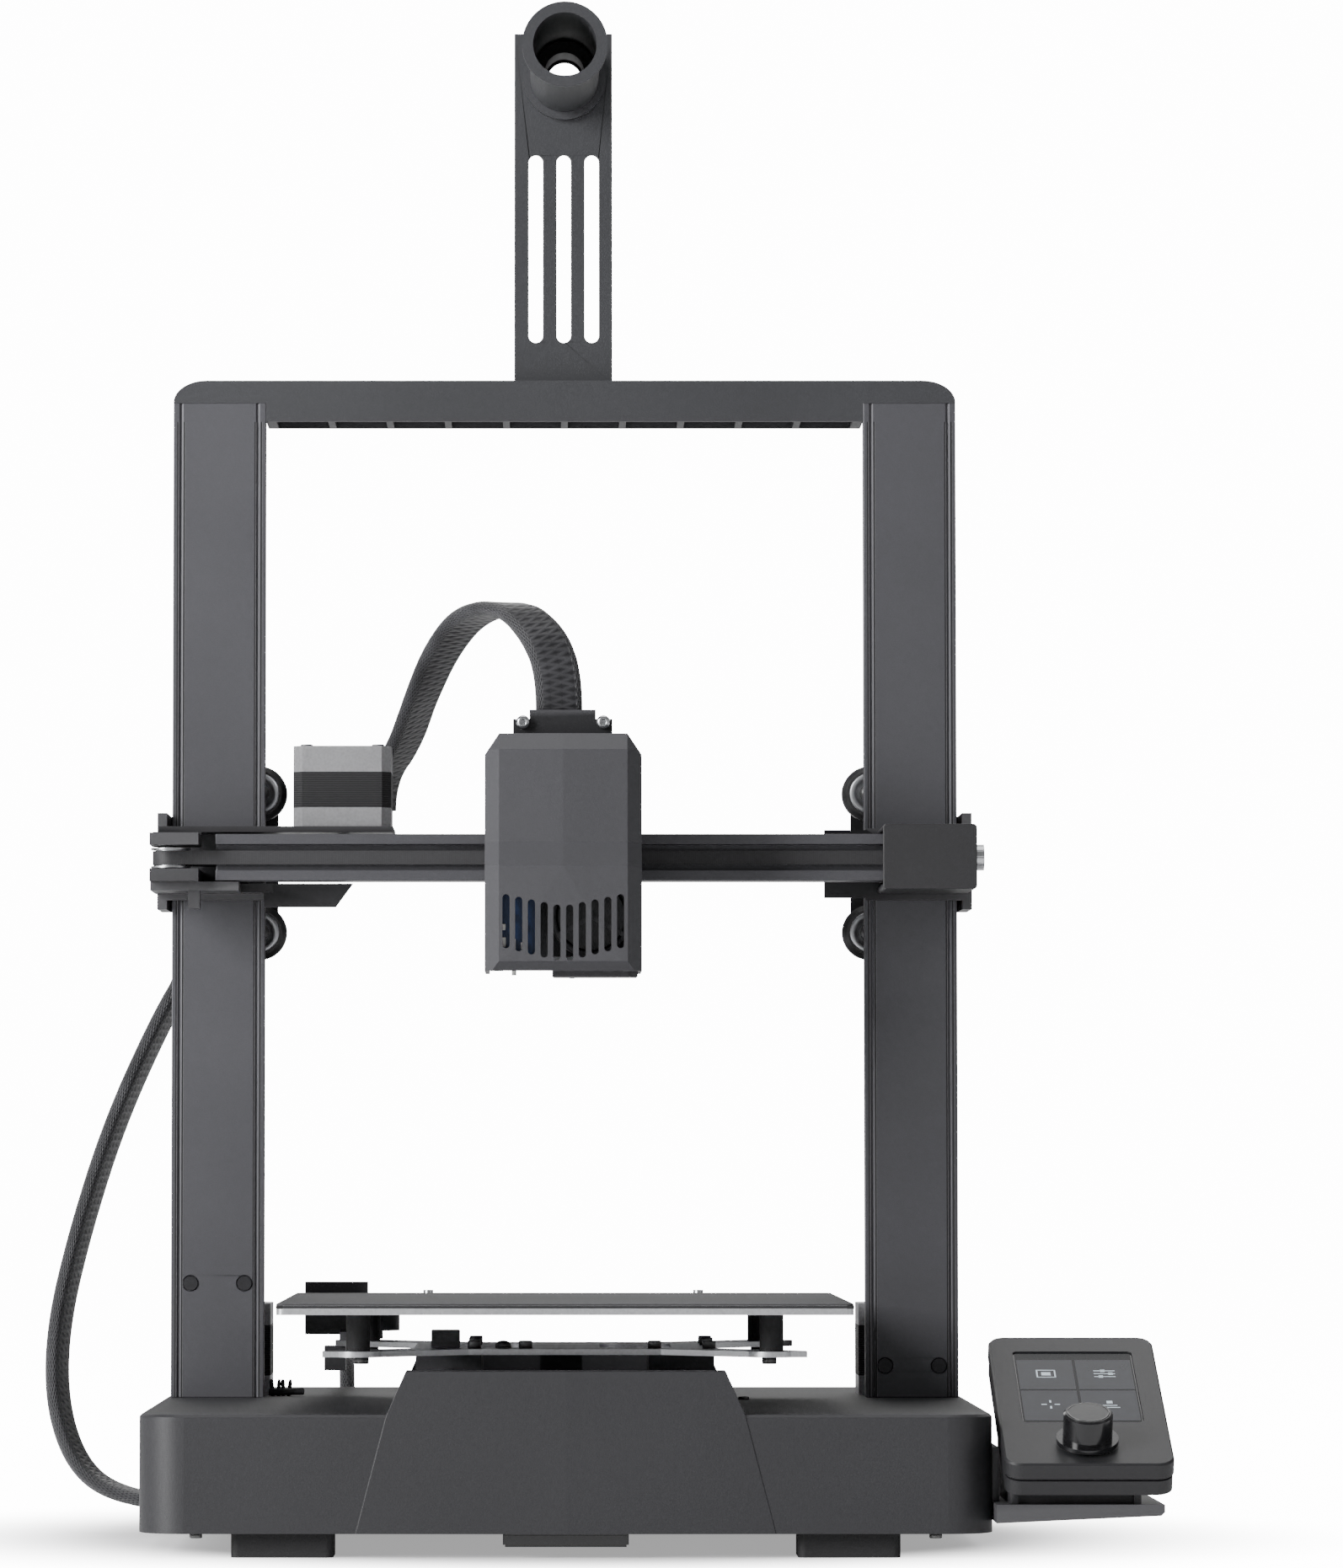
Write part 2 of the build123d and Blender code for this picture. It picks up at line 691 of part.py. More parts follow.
with BuildPart() as extruder_body:
    box_between((-24, -58, 292), (2, -18, 330))
    rod_along("y", (-9, -62, 311), 17.5, 8)
    box_between((2, -46, 300), (21, -18, 326))
    rod_along("z", (nozzle_x, nozzle_y, 331), 4.0, 12)
    box_between((-2, -50, 290), (8, -40, 331))
    rod_along("z", (nozzle_x, nozzle_y, 315), 1.0, 60, Mode.SUBTRACT)
    rod_along("y", (14, -40, 313), 6.6, 40, Mode.SUBTRACT)
    rod_along("y", (14, -30, 313), 2.5, 24)
    box_between((-7, -62, 246.5), (29, -59, 280))
    rod_along("y", (11, -67, 263), 1.5, 12)
    box_between((24, -59, 262), (29, -18, 300))
    box_between((20, -30, 296), (29, -18, 304))
save(extruder_body, "extruder_body")

with BuildPart() as drive_gear:
    with BuildSketch(Plane.XZ.offset(20)):
        with Locations((14, 313)):
            Circle(6.0)
            with PolarLocations(6.2, 18):
                Circle(0.55, mode=Mode.SUBTRACT)
            Circle(2.55, mode=Mode.SUBTRACT)
    extrude(amount=12)
save(drive_gear, "drive_gear")

with BuildPart() as hotend:
    box_between((-9, -57, 262), (15, -30, 288))
    for fin in range(7):
        for side in (-1, 1):
            box_between((-9 if side < 0 else 8, -57, 264 + fin * 3.5),
                        (-2 if side < 0 else 15, -30, 265.8 + fin * 3.5), Mode.SUBTRACT)
    rod_along("z", (nozzle_x, nozzle_y, 258), 3.5, 12)
    box_between((-6, -56, 242.5), (15, -38, 253.5))
    with Locations((nozzle_x, nozzle_y, 242.5)):
        Cylinder(3.6, 2.0, align=(Align.CENTER, Align.CENTER, Align.MAX))
    with Locations((nozzle_x, nozzle_y, 240.5)):
        Cone(0.6, 3.0, 3.4, align=(Align.CENTER, Align.CENTER, Align.MAX))
    box_between((-2, -50, 288), (8, -40, 290))
    box_between((-12, -30, 262), (15, -18, 285))
    rod_along("z", (nozzle_x, nozzle_y, 265), 1.0, 70, Mode.SUBTRACT)
save(hotend, "hotend")

with BuildPart() as part_fan:
    rod_along("y", (11, -74, 263), 14.0, 3.0)
    for blade in range(16):
        angle = blade * math.tau / 16
        place = (11 + 12.4 * math.cos(angle), -70, 263 + 12.4 * math.sin(angle))
        rod_along("y", place, 1.0, 8)
    rod_along("y", (11, -69.5, 263), 5.0, 9)
    rod_along("y", (11, -66, 263), 1.55, 14, Mode.SUBTRACT)
save(part_fan, "part_fan")

with BuildPart() as cable_clamp:
    box_between((-22, -56, head_top), (20, -34, head_top + 7))
    box_between((-15, -56, head_top + 7), (13, -40, head_top + 11))
    box_between((-21.5, -39, 334), (19.5, -30, head_top))
    for side in (-1, 1):
        rod_along("y", (head_x + side * 17, -57, head_top + 5.6), 2.8, 2.4)
save(cable_clamp, "cable_clamp")

with BuildPart() as probe_pin:
    rod_along("z", (probe_x, -45, 251), 1.0, 24)
save(probe_pin, "probe_pin")

# ---------------------------------------------------------------- bed

with BuildPart() as bed_carriage_plate:
    with BuildSketch(Plane.XY.offset(carriage_under)):
        with Locations((bed_x, bed_y)):
            Rectangle(126, 114)
            with GridLocations(hole_spacing, hole_spacing, 2, 2):
                Circle(10)
        for across in (-1, 1):
            for along in (-1, 1):
                with BuildLine():
                    Polyline(
                        (bed_x + across * 99.5, bed_y + along * 79),
                        (bed_x + across * 99.5, bed_y + along * 91),
                        (bed_x + across * 80, bed_y + along * 92),
                        (bed_x + across * 40, bed_y + along * 57),
                        (bed_x + across * 40, bed_y + along * 40),
                        (bed_x + across * 62, bed_y + along * 40),
                        close=True,
                    )
                make_face()
        with Locations((bed_x, bed_y)):
            with GridLocations(60, 0, 2, 1):
                RectangleRounded(30, 60, 8, mode=Mode.SUBTRACT)
    extrude(amount=carriage_thick)
    box_between((y_belt_x - 9, bearing_y - 12, 60), (y_belt_x + 9, bearing_y + 12, carriage_under))
    box_between((y_belt_x - 5, bearing_y - 12, 36), (y_belt_x + 5, bearing_y + 12, 60))
    box_between((y_belt_x - 3.4, bearing_y - 20, 38.8), (y_belt_x + 3.4, bearing_y + 20, 41.4),
                Mode.SUBTRACT)
    box_between((-104.6, 40, 69.4), (-95.4, 52, carriage_under))
    rod_along("y", (-100, 52, 74), 3.5, 4, Mode.SUBTRACT)
save(bed_carriage_plate, "bed_carriage_plate")

with BuildPart() as y_bearings:
    for side in (-1, 1):
        for along in (-1, 1):
            middle = bearing_y + along * 20
            box_between((side * rod_x - 14, middle - 13, 61.0),
                        (side * rod_x + 14, middle + 13, carriage_under))
            rod_along("y", (side * rod_x, middle, rod_z), rod_radius + 0.06, 40, Mode.SUBTRACT)
save(y_bearings, "y_bearings")

with BuildPart() as bed_standoffs:
    with Locations((bed_x, bed_y, (carriage_under + carriage_thick + bed_under) / 2)):
        with GridLocations(hole_spacing, hole_spacing, 2, 2):
            Cylinder(4.9, bed_under - carriage_under - carriage_thick)
            Cylinder(1.6, 40, mode=Mode.SUBTRACT)
save(bed_standoffs, "bed_standoffs")

with BuildPart() as heated_bed:
    with BuildSketch(Plane.XY.offset(bed_under)):
        with Locations((bed_x, bed_y)):
            RectangleRounded(bed_size, bed_size, 3)
    extrude(amount=bed_over - bed_under)
    for pin_x in (-60.0, 59.0):
        rod_along("z", (pin_x, bed_y + bed_size / 2 - 2.2, bed_over + 1), 2.2, 2.0)
save(heated_bed, "heated_bed")

with BuildPart() as build_plate:
    with BuildSketch(Plane.XY.offset(bed_over)):
        with Locations((bed_x, bed_y)):
            RectangleRounded(bed_size, bed_size, 3)
        with Locations((-60.0, bed_y + bed_size / 2), (59.0, bed_y + bed_size / 2)):
            RectangleRounded(5.4, 9.6, 2.4, mode=Mode.SUBTRACT)
    extrude(amount=sheet_top - bed_over)
save(build_plate, "build_plate")

with BuildPart() as z_offset_sensor:
    box_between((-114.5, 81, 84), (-87, 95, 107))
    box_between((-98, 40, 82.4), (-91.5, 81, 86))
    box_between((-93, 66, 82.4), (-80, 78, 86.5))
    rod_along("z", (-81.5, 72, 91.5), 9.0, 11)
save(z_offset_sensor, "z_offset_sensor")

# ---------------------------------------------------------------- screen


def screen_box(width, length, low, high, radius, along=0.0, mode=Mode.ADD):
    """A rounded slab parallel to the screen's face, between two heights over that face."""
    with BuildSketch(face_plane.offset(low)) as outline:
        with Locations((0, along)):
            RectangleRounded(width, length, radius)
    extrude(outline.sketch, amount=high - low, mode=mode)


with BuildPart() as screen_arm:
    box_between((173.5, -148, 16), (176.5, -90, 44))
    with BuildSketch(Plane.XZ.offset(90)):
        with BuildLine():
            Polyline(
                (173.5, 14.8),
                (239.8, 17.8),
                (241.3, 19.3),
                (241.3, 22.3),
                (173.5, 22.3),
                close=True,
            )
        make_face()
    extrude(amount=88)
    box_between((180, -169, 22.3), (232, -166.5, 30.3))
    for rib_x in (179.5, 229.2):
        with BuildSketch(Plane.YZ.offset(rib_x)):
            with BuildLine():
                Polyline(
                    (-172, 22.3),
                    (-92, 22.3),
                    (-92, 64.55),
                    (-172, 29.4),
                    close=True,
                )
            make_face()
        extrude(amount=3)
save(screen_arm, "screen_arm")

with BuildPart() as screen_rear_shell:
    screen_box(screen_width - 0.8, screen_length - 0.8, -14, -7.9, 6.6)
    screen_box(screen_width - 3, screen_length - 3, -7.9, -7.5, 6)
    screen_box(screen_width - 6, screen_length - 6, -12, -7, 5, mode=Mode.SUBTRACT)
save(screen_rear_shell, "screen_rear_shell")

with BuildPart() as screen_front_shell:
    screen_box(screen_width, screen_length, -7.5, 0, 7)
    chamfer(screen_front_shell.faces().sort_by(Axis.Z)[-1].edges(), 0.8)
    screen_box(screen_width - 5, screen_length - 5, -8, -2.2, 5, mode=Mode.SUBTRACT)
    screen_box(49.5, 67, -5, 2, 2, along=12, mode=Mode.SUBTRACT)
    with BuildSketch(face_plane.offset(-5)):
        with Locations((0, -knob_drop)):
            Circle(4.0)
    extrude(amount=8, mode=Mode.SUBTRACT)
save(screen_front_shell, "screen_front_shell")

with BuildPart() as display_panel:
    screen_box(56, 74, -5.2, -2.2, 1, along=12)
    screen_box(49.1, 66.6, -2.2, -0.6, 1.8, along=12)
save(display_panel, "display_panel")

with BuildPart() as encoder_shaft:
    with BuildSketch(face_plane.offset(-4)):
        with Locations((0, -knob_drop)):
            Circle(3.0)
    extrude(amount=13)
save(encoder_shaft, "encoder_shaft")

with BuildPart() as screen_knob:
    with BuildSketch(face_plane.offset(1.4)):
        with Locations((0, -knob_drop)):
            Circle(12.6)
    extrude(amount=1.8)
    with BuildSketch(face_plane.offset(3.2)):
        with Locations((0, -knob_drop)):
            Circle(10.0)
    extrude(amount=11.2)
    chamfer(screen_knob.faces().sort_by(Axis.Z)[-1].edges(), 0.8)
    with BuildSketch(face_plane.offset(1)):
        with Locations((0, -knob_drop)):
            Circle(3.05)
    extrude(amount=9, mode=Mode.SUBTRACT)
save(screen_knob, "screen_knob")

# ---------------------------------------------------------------- cables


def cable(name, route, diameter):
    """A plain round tube: straight runs joined by arcs as large as their runs allow."""
    points = [Vector(*place) for place in route]
    radii = []
    for before, corner, after in zip(points, points[1:], points[2:]):
        turn = math.radians((corner - before).get_angle(after - corner))
        shorter = min((corner - before).length, (after - corner).length)
        radii.append(0.45 * shorter / math.tan(turn / 2))
    print(name, "radii", [round(radius, 1) for radius in radii])
    with BuildPart() as tube:
        with BuildLine() as path:
            FilletPolyline(*route, radius=radii)
        wire = path.wires()[0]
        with BuildSketch(Plane(origin=wire @ 0, z_dir=wire % 0)) as section:
            Circle(diameter / 2)
        sweep(section.sketch, path=wire)
    ideal = math.pi * (diameter / 2) ** 2 * wire.length
    print(name, "length", round(wire.length, 1), "volume ratio", round(tube.part.volume / ideal, 4))
    save(tube, name)


toolhead_cable_route = [
    (-2.5, -47.0, 351.2),
    (-2.5, -47.0, 367.0),
    (-9.0, -43.0, 384.0),
    (-22.0, -32.0, 397.0),
    (-40.0, -13.0, 396.0),
    (-53.0, 7.0, 382.0),
    (-63.0, 28.0, 361.0),
    (-70.0, 50.0, 343.0),
    (-81.0, 67.0, 328.0),
    (-81.0, 67.0, 315.0),
]
cable("toolhead_cable", toolhead_cable_route, ribbon_thick)

gantry_cable_route = [
    (-162.0, 76.0, 262.0),
    (-162.0, 76.0, 246.0),
    (-173.0, 71.0, 222.0),
    (-192.0, 60.0, 177.0),
    (-208.0, 48.0, 130.0),
    (-219.5, 37.0, 88.0),
    (-220.0, 28.0, 54.0),
    (-210.0, 21.0, 28.0),
    (-192.0, 16.5, 16.0),
    (-174.0, 15.0, 14.0),
]
cable("gantry_cable", gantry_cable_route, ribbon_thick)

bed_cable_route = [
    (-100.0, 168.5, 26.0),
    (-100.0, 206.4, 26.0),
    (-100.0, 221.0, 40.6),
    (-100.0, 221.0, 61.4),
    (-100.0, 206.4, 76.0),
    (-100.0, 168.0, 77.0),
    (-100.0, 112.0, 74.5),
    (-100.0, 52.0, 74.0),
]
cable("bed_cable", bed_cable_route, bed_cable_diameter)
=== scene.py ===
import bpy
import bmesh
import math
from mathutils import Matrix, Vector


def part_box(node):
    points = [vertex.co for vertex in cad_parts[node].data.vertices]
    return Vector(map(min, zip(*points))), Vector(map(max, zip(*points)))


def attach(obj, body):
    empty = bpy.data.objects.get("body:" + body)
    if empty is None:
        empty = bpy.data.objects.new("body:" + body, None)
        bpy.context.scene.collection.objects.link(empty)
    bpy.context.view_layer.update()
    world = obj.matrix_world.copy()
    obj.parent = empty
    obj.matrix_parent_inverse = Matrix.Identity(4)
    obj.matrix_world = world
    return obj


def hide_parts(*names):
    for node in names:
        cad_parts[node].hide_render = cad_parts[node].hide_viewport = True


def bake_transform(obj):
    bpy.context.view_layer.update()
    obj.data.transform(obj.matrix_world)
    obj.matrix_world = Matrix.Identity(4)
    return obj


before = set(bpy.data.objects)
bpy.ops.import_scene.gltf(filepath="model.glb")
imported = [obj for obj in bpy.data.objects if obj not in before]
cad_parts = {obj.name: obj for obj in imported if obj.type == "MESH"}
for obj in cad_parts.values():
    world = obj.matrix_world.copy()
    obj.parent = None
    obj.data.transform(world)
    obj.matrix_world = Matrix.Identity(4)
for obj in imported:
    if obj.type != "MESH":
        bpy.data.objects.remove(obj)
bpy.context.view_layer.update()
MM = 0.001

# ------------------------------------------------------------------ helpers


def mm(*place):
    """A place given in millimetres, as metres."""
    return Vector([value * MM for value in place])


def nodes_of(material):
    """A material's nodes and the links between them."""
    return material.node_tree.nodes, material.node_tree.links


def finish_material(
    name,
    colour,
    roughness=0.5,
    metallic=0.0,
    grain=900.0,
    bump=0.08,
    vary=0.12,
    smudge=9.0,
    coat=0.0,
    stretch=(1, 1, 1),
    edge_wear_and_highlight=None,
    specular=0.5,
):
    """A procedural finish: a large soft variation, a fine grain in colour and bump, and lighter edges
    that are partly wear and partly a painted highlight.
    """
    material = bpy.data.materials.new(name)
    material.use_nodes = True
    nodes, links = nodes_of(material)
    shader = nodes["Principled BSDF"]
    shader.inputs["Metallic"].default_value = metallic
    shader.inputs["Specular IOR Level"].default_value = specular
    shader.inputs["Coat Weight"].default_value = coat
    shader.inputs["Coat Roughness"].default_value = 0.15
    where = nodes.new("ShaderNodeTexCoord")
    scale = nodes.new("ShaderNodeMapping")
    scale.inputs["Scale"].default_value = stretch
    links.new(where.outputs["Object"], scale.inputs["Vector"])
    fine = nodes.new("ShaderNodeTexNoise")
    fine.inputs["Scale"].default_value = grain
    fine.inputs["Detail"].default_value = 3.0
    links.new(scale.outputs["Vector"], fine.inputs["Vector"])
    broad = nodes.new("ShaderNodeTexNoise")
    broad.inputs["Scale"].default_value = smudge
    broad.inputs["Detail"].default_value = 2.0
    links.new(where.outputs["Object"], broad.inputs["Vector"])
    mixed = nodes.new("ShaderNodeMath")
    mixed.operation = "MULTIPLY_ADD"
    mixed.inputs[1].default_value = 0.5
    links.new(fine.outputs["Fac"], mixed.inputs[0])
    half = nodes.new("ShaderNodeMath")
    half.operation = "MULTIPLY"
    half.inputs[1].default_value = 0.5
    links.new(broad.outputs["Fac"], half.inputs[0])
    links.new(half.outputs[0], mixed.inputs[2])
    ramp = nodes.new("ShaderNodeValToRGB")
    ramp.color_ramp.elements[0].position = 0.35
    ramp.color_ramp.elements[1].position = 0.65
    ramp.color_ramp.elements[0].color = [c * (1 - vary) for c in colour] + [1]
    ramp.color_ramp.elements[1].color = [min(1, c * (1 + vary)) for c in colour] + [1]
    links.new(mixed.outputs[0], ramp.inputs["Fac"])
    out_colour = ramp.outputs["Color"]
    # Lighter colour on sharp edges, found by pointiness: partly edge wear, partly a painted highlight
    # where the edges catch the light.
    if edge_wear_and_highlight is not None:
        shape = nodes.new("ShaderNodeNewGeometry")
        sharp = nodes.new("ShaderNodeValToRGB")
        sharp.color_ramp.elements[0].position = 0.52
        sharp.color_ramp.elements[1].position = 0.60
        links.new(shape.outputs["Pointiness"], sharp.inputs["Fac"])
        blend = nodes.new("ShaderNodeMix")
        blend.data_type = "RGBA"
        links.new(sharp.outputs["Color"], blend.inputs["Factor"])
        links.new(out_colour, blend.inputs["A"])
        blend.inputs["B"].default_value = (*edge_wear_and_highlight, 1)
        out_colour = blend.outputs["Result"]
    links.new(out_colour, shader.inputs["Base Color"])
    rough = nodes.new("ShaderNodeMapRange")
    rough.inputs["To Min"].default_value = roughness - 0.08
    rough.inputs["To Max"].default_value = roughness + 0.08
    links.new(mixed.outputs[0], rough.inputs["Value"])
    links.new(rough.outputs["Result"], shader.inputs["Roughness"])
    relief = nodes.new("ShaderNodeBump")
    relief.inputs["Strength"].default_value = bump
    relief.inputs["Distance"].default_value = 0.0003
    links.new(fine.outputs["Fac"], relief.inputs["Height"])
    links.new(relief.outputs["Normal"], shader.inputs["Normal"])
    return material


def waves_material(name, colour, light, scale, axis="Z", roughness=0.5, metallic=0.0, bump=0.6):
    """A finish crossed by fine regular lines: laminations, turning marks or belt teeth."""
    material = finish_material(name, colour, roughness, metallic, bump=0.05)
    nodes, links = nodes_of(material)
    shader = nodes["Principled BSDF"]
    where = nodes.new("ShaderNodeTexCoord")
    wave = nodes.new("ShaderNodeTexWave")
    wave.bands_direction = axis
    wave.inputs["Scale"].default_value = scale
    wave.inputs["Distortion"].default_value = 0.0
    links.new(where.outputs["Object"], wave.inputs["Vector"])
    ramp = nodes.new("ShaderNodeValToRGB")
    ramp.color_ramp.elements[0].color = [*colour, 1]
    ramp.color_ramp.elements[1].color = [*light, 1]
    links.new(wave.outputs["Color"], ramp.inputs["Fac"])
    links.new(ramp.outputs["Color"], shader.inputs["Base Color"])
    relief = nodes.new("ShaderNodeBump")
    relief.inputs["Strength"].default_value = bump
    relief.inputs["Distance"].default_value = 0.0004
    links.new(wave.outputs["Fac"], relief.inputs["Height"])
    links.new(relief.outputs["Normal"], shader.inputs["Normal"])
    return material


def braid_material(name):
    """A woven monofilament sleeve: two crossing sets of fine diagonal strands, along the piece's UVs."""
    material = bpy.data.materials.new(name)
    material.use_nodes = True
    nodes, links = nodes_of(material)
    shader = nodes["Principled BSDF"]
    shader.inputs["Sheen Weight"].default_value = 0.15
    where = nodes.new("ShaderNodeTexCoord")
    heights = []
    for turn in (38, -38):
        scale = nodes.new("ShaderNodeMapping")
        scale.inputs["Rotation"].default_value = (0, 0, math.radians(turn))
        links.new(where.outputs["UV"], scale.inputs["Vector"])
        wave = nodes.new("ShaderNodeTexWave")
        wave.inputs["Scale"].default_value = 150.0
        wave.inputs["Distortion"].default_value = 0.6
        links.new(scale.outputs["Vector"], wave.inputs["Vector"])
        heights.append(wave.outputs["Fac"])
    over = nodes.new("ShaderNodeMath")
    over.operation = "MAXIMUM"
    links.new(heights[0], over.inputs[0])
    links.new(heights[1], over.inputs[1])
    broad = nodes.new("ShaderNodeTexNoise")
    broad.inputs["Scale"].default_value = 60.0
    links.new(where.outputs["Object"], broad.inputs["Vector"])
    shade = nodes.new("ShaderNodeMath")
    shade.operation = "MULTIPLY"
    links.new(over.outputs[0], shade.inputs[0])
    links.new(broad.outputs["Fac"], shade.inputs[1])
    ramp = nodes.new("ShaderNodeValToRGB")
    ramp.color_ramp.elements[0].position = 0.15
    ramp.color_ramp.elements[1].position = 0.75
    ramp.color_ramp.elements[0].color = (0.006, 0.006, 0.008, 1)
    ramp.color_ramp.elements[1].color = (0.06, 0.06, 0.066, 1)
    links.new(shade.outputs[0], ramp.inputs["Fac"])
    links.new(ramp.outputs["Color"], shader.inputs["Base Color"])
    shader.inputs["Roughness"].default_value = 0.5
    relief = nodes.new("ShaderNodeBump")
    relief.inputs["Strength"].default_value = 0.8
    relief.inputs["Distance"].default_value = 0.0004
    links.new(over.outputs[0], relief.inputs["Height"])
    links.new(relief.outputs["Normal"], shader.inputs["Normal"])
    return material


# ------------------------------------------------------------------ camera, floor and light

LONG_SIDE = 1861
FOCAL = 8000
PRINCIPAL_X = 651
camera_data = bpy.data.cameras.new("camera")
camera_data.sensor_width = 36.0
camera_data.lens = FOCAL / LONG_SIDE * 36.0
camera_data.shift_x = (1594 / 2 - PRINCIPAL_X) / LONG_SIDE
camera_data.clip_end = 20
camera = bpy.data.objects.new("camera", camera_data)
camera.location = mm(-7, -2903.5, 161)
camera.rotation_euler = (math.radians(93.19), 0, 0)
bpy.context.collection.objects.link(camera)
bpy.context.scene.camera = camera


def stage_panel(name, corners, shine):
    """A plain white panel of the studio that glows a little, as a lit cyclorama does."""
    mesh = bpy.data.meshes.new(name)
    mesh.from_pydata(corners, [], [(0, 1, 2, 3)])
    panel = bpy.data.objects.new(name, mesh)
    bpy.context.collection.objects.link(panel)
    material = finish_material(name, (0.93, 0.93, 0.94), 0.7, grain=40, bump=0.0, vary=0.005)
    shader = material.node_tree.nodes["Principled BSDF"]
    shader.inputs["Emission Color"].default_value = (1, 1, 1, 1)
    shader.inputs["Emission Strength"].default_value = shine
    mesh.materials.append(material)
    return panel


def soft_light(name, place, target, size, power):
    """A rectangular area light that looks at a point, its size in metres and its power in watts."""
    data = bpy.data.lights.new(name, "AREA")
    data.shape = "RECTANGLE"
    data.size, data.size_y = size
    data.energy = power
    light = bpy.data.objects.new(name, data)
    light.location = place
    aim = Vector(target) - Vector(place)
    light.rotation_euler = aim.to_track_quat("-Z", "Y").to_euler()
    bpy.context.collection.objects.link(light)


def shade_under(panel, size):
    """Dims a panel's glow softly under the object, where a real floor would be in its shade."""
    material = panel.data.materials[0]
    nodes, links = nodes_of(material)
    where = nodes.new("ShaderNodeTexCoord")
    place = nodes.new("ShaderNodeMapping")
    place.inputs["Scale"].default_value = [1 / v for v in size]
    links.new(where.outputs["Object"], place.inputs["Vector"])
    pool = nodes.new("ShaderNodeTexGradient")
    pool.gradient_type = "SPHERICAL"
    links.new(place.outputs["Vector"], pool.inputs["Vector"])
    ramp = nodes.new("ShaderNodeValToRGB")
    ramp.color_ramp.interpolation = "EASE"
    ramp.color_ramp.elements[0].color = (1, 1, 1, 1)
    ramp.color_ramp.elements[1].position = 0.5
    ramp.color_ramp.elements[1].color = (0.03, 0.03, 0.03, 1)
    links.new(pool.outputs["Color"], ramp.inputs["Fac"])
    links.new(ramp.outputs["Color"], nodes["Principled BSDF"].inputs["Emission Color"])


ground = [(-9, -9, 0), (9, -9, 0), (9, 9, 0), (-9, 9, 0)]
floor = stage_panel("studio_floor", ground, 14.0)
shade_under(floor, (0.36, 0.33, 0.3))
stage_panel("studio_under_floor", [(x, y, -0.003) for x, y, z in ground], 0.05)
backdrop = stage_panel("studio_back", [(-9, 8.9, -1), (9, 8.9, -1), (9, 8.9, 9), (-9, 8.9, 9)], 14.0)
for panel in (floor, backdrop):
    panel.visible_diffuse = False
    panel.visible_glossy = False
    panel.visible_shadow = False
world = bpy.data.worlds.new("studio")
bpy.context.scene.world = world
world.use_nodes = True
world.node_tree.nodes["Background"].inputs["Color"].default_value = (1, 1, 1, 1)
world.node_tree.nodes["Background"].inputs["Strength"].default_value = 0.22
soft_light("key_left", (-2.4, -1.9, 1.3), (0, 0, 0.3), (1.2, 1.6), 165)
soft_light("fill_right", (2.2, -1.2, 0.9), (0, 0, 0.3), (1.0, 1.6), 3)
soft_light("top", (0, 0.1, 2.3), (0, 0, 0.2), (1.6, 1.6), 14)
soft_light("back", (0, 1.9, 1.6), (0, 0, 0.5), (3.0, 1.2), 24)

# ------------------------------------------------------------------ finishes

CHARCOAL = (0.058, 0.058, 0.064)
DARK = (0.036, 0.037, 0.041)
BLACK = (0.012, 0.012, 0.014)
SILVER = (0.62, 0.63, 0.65)

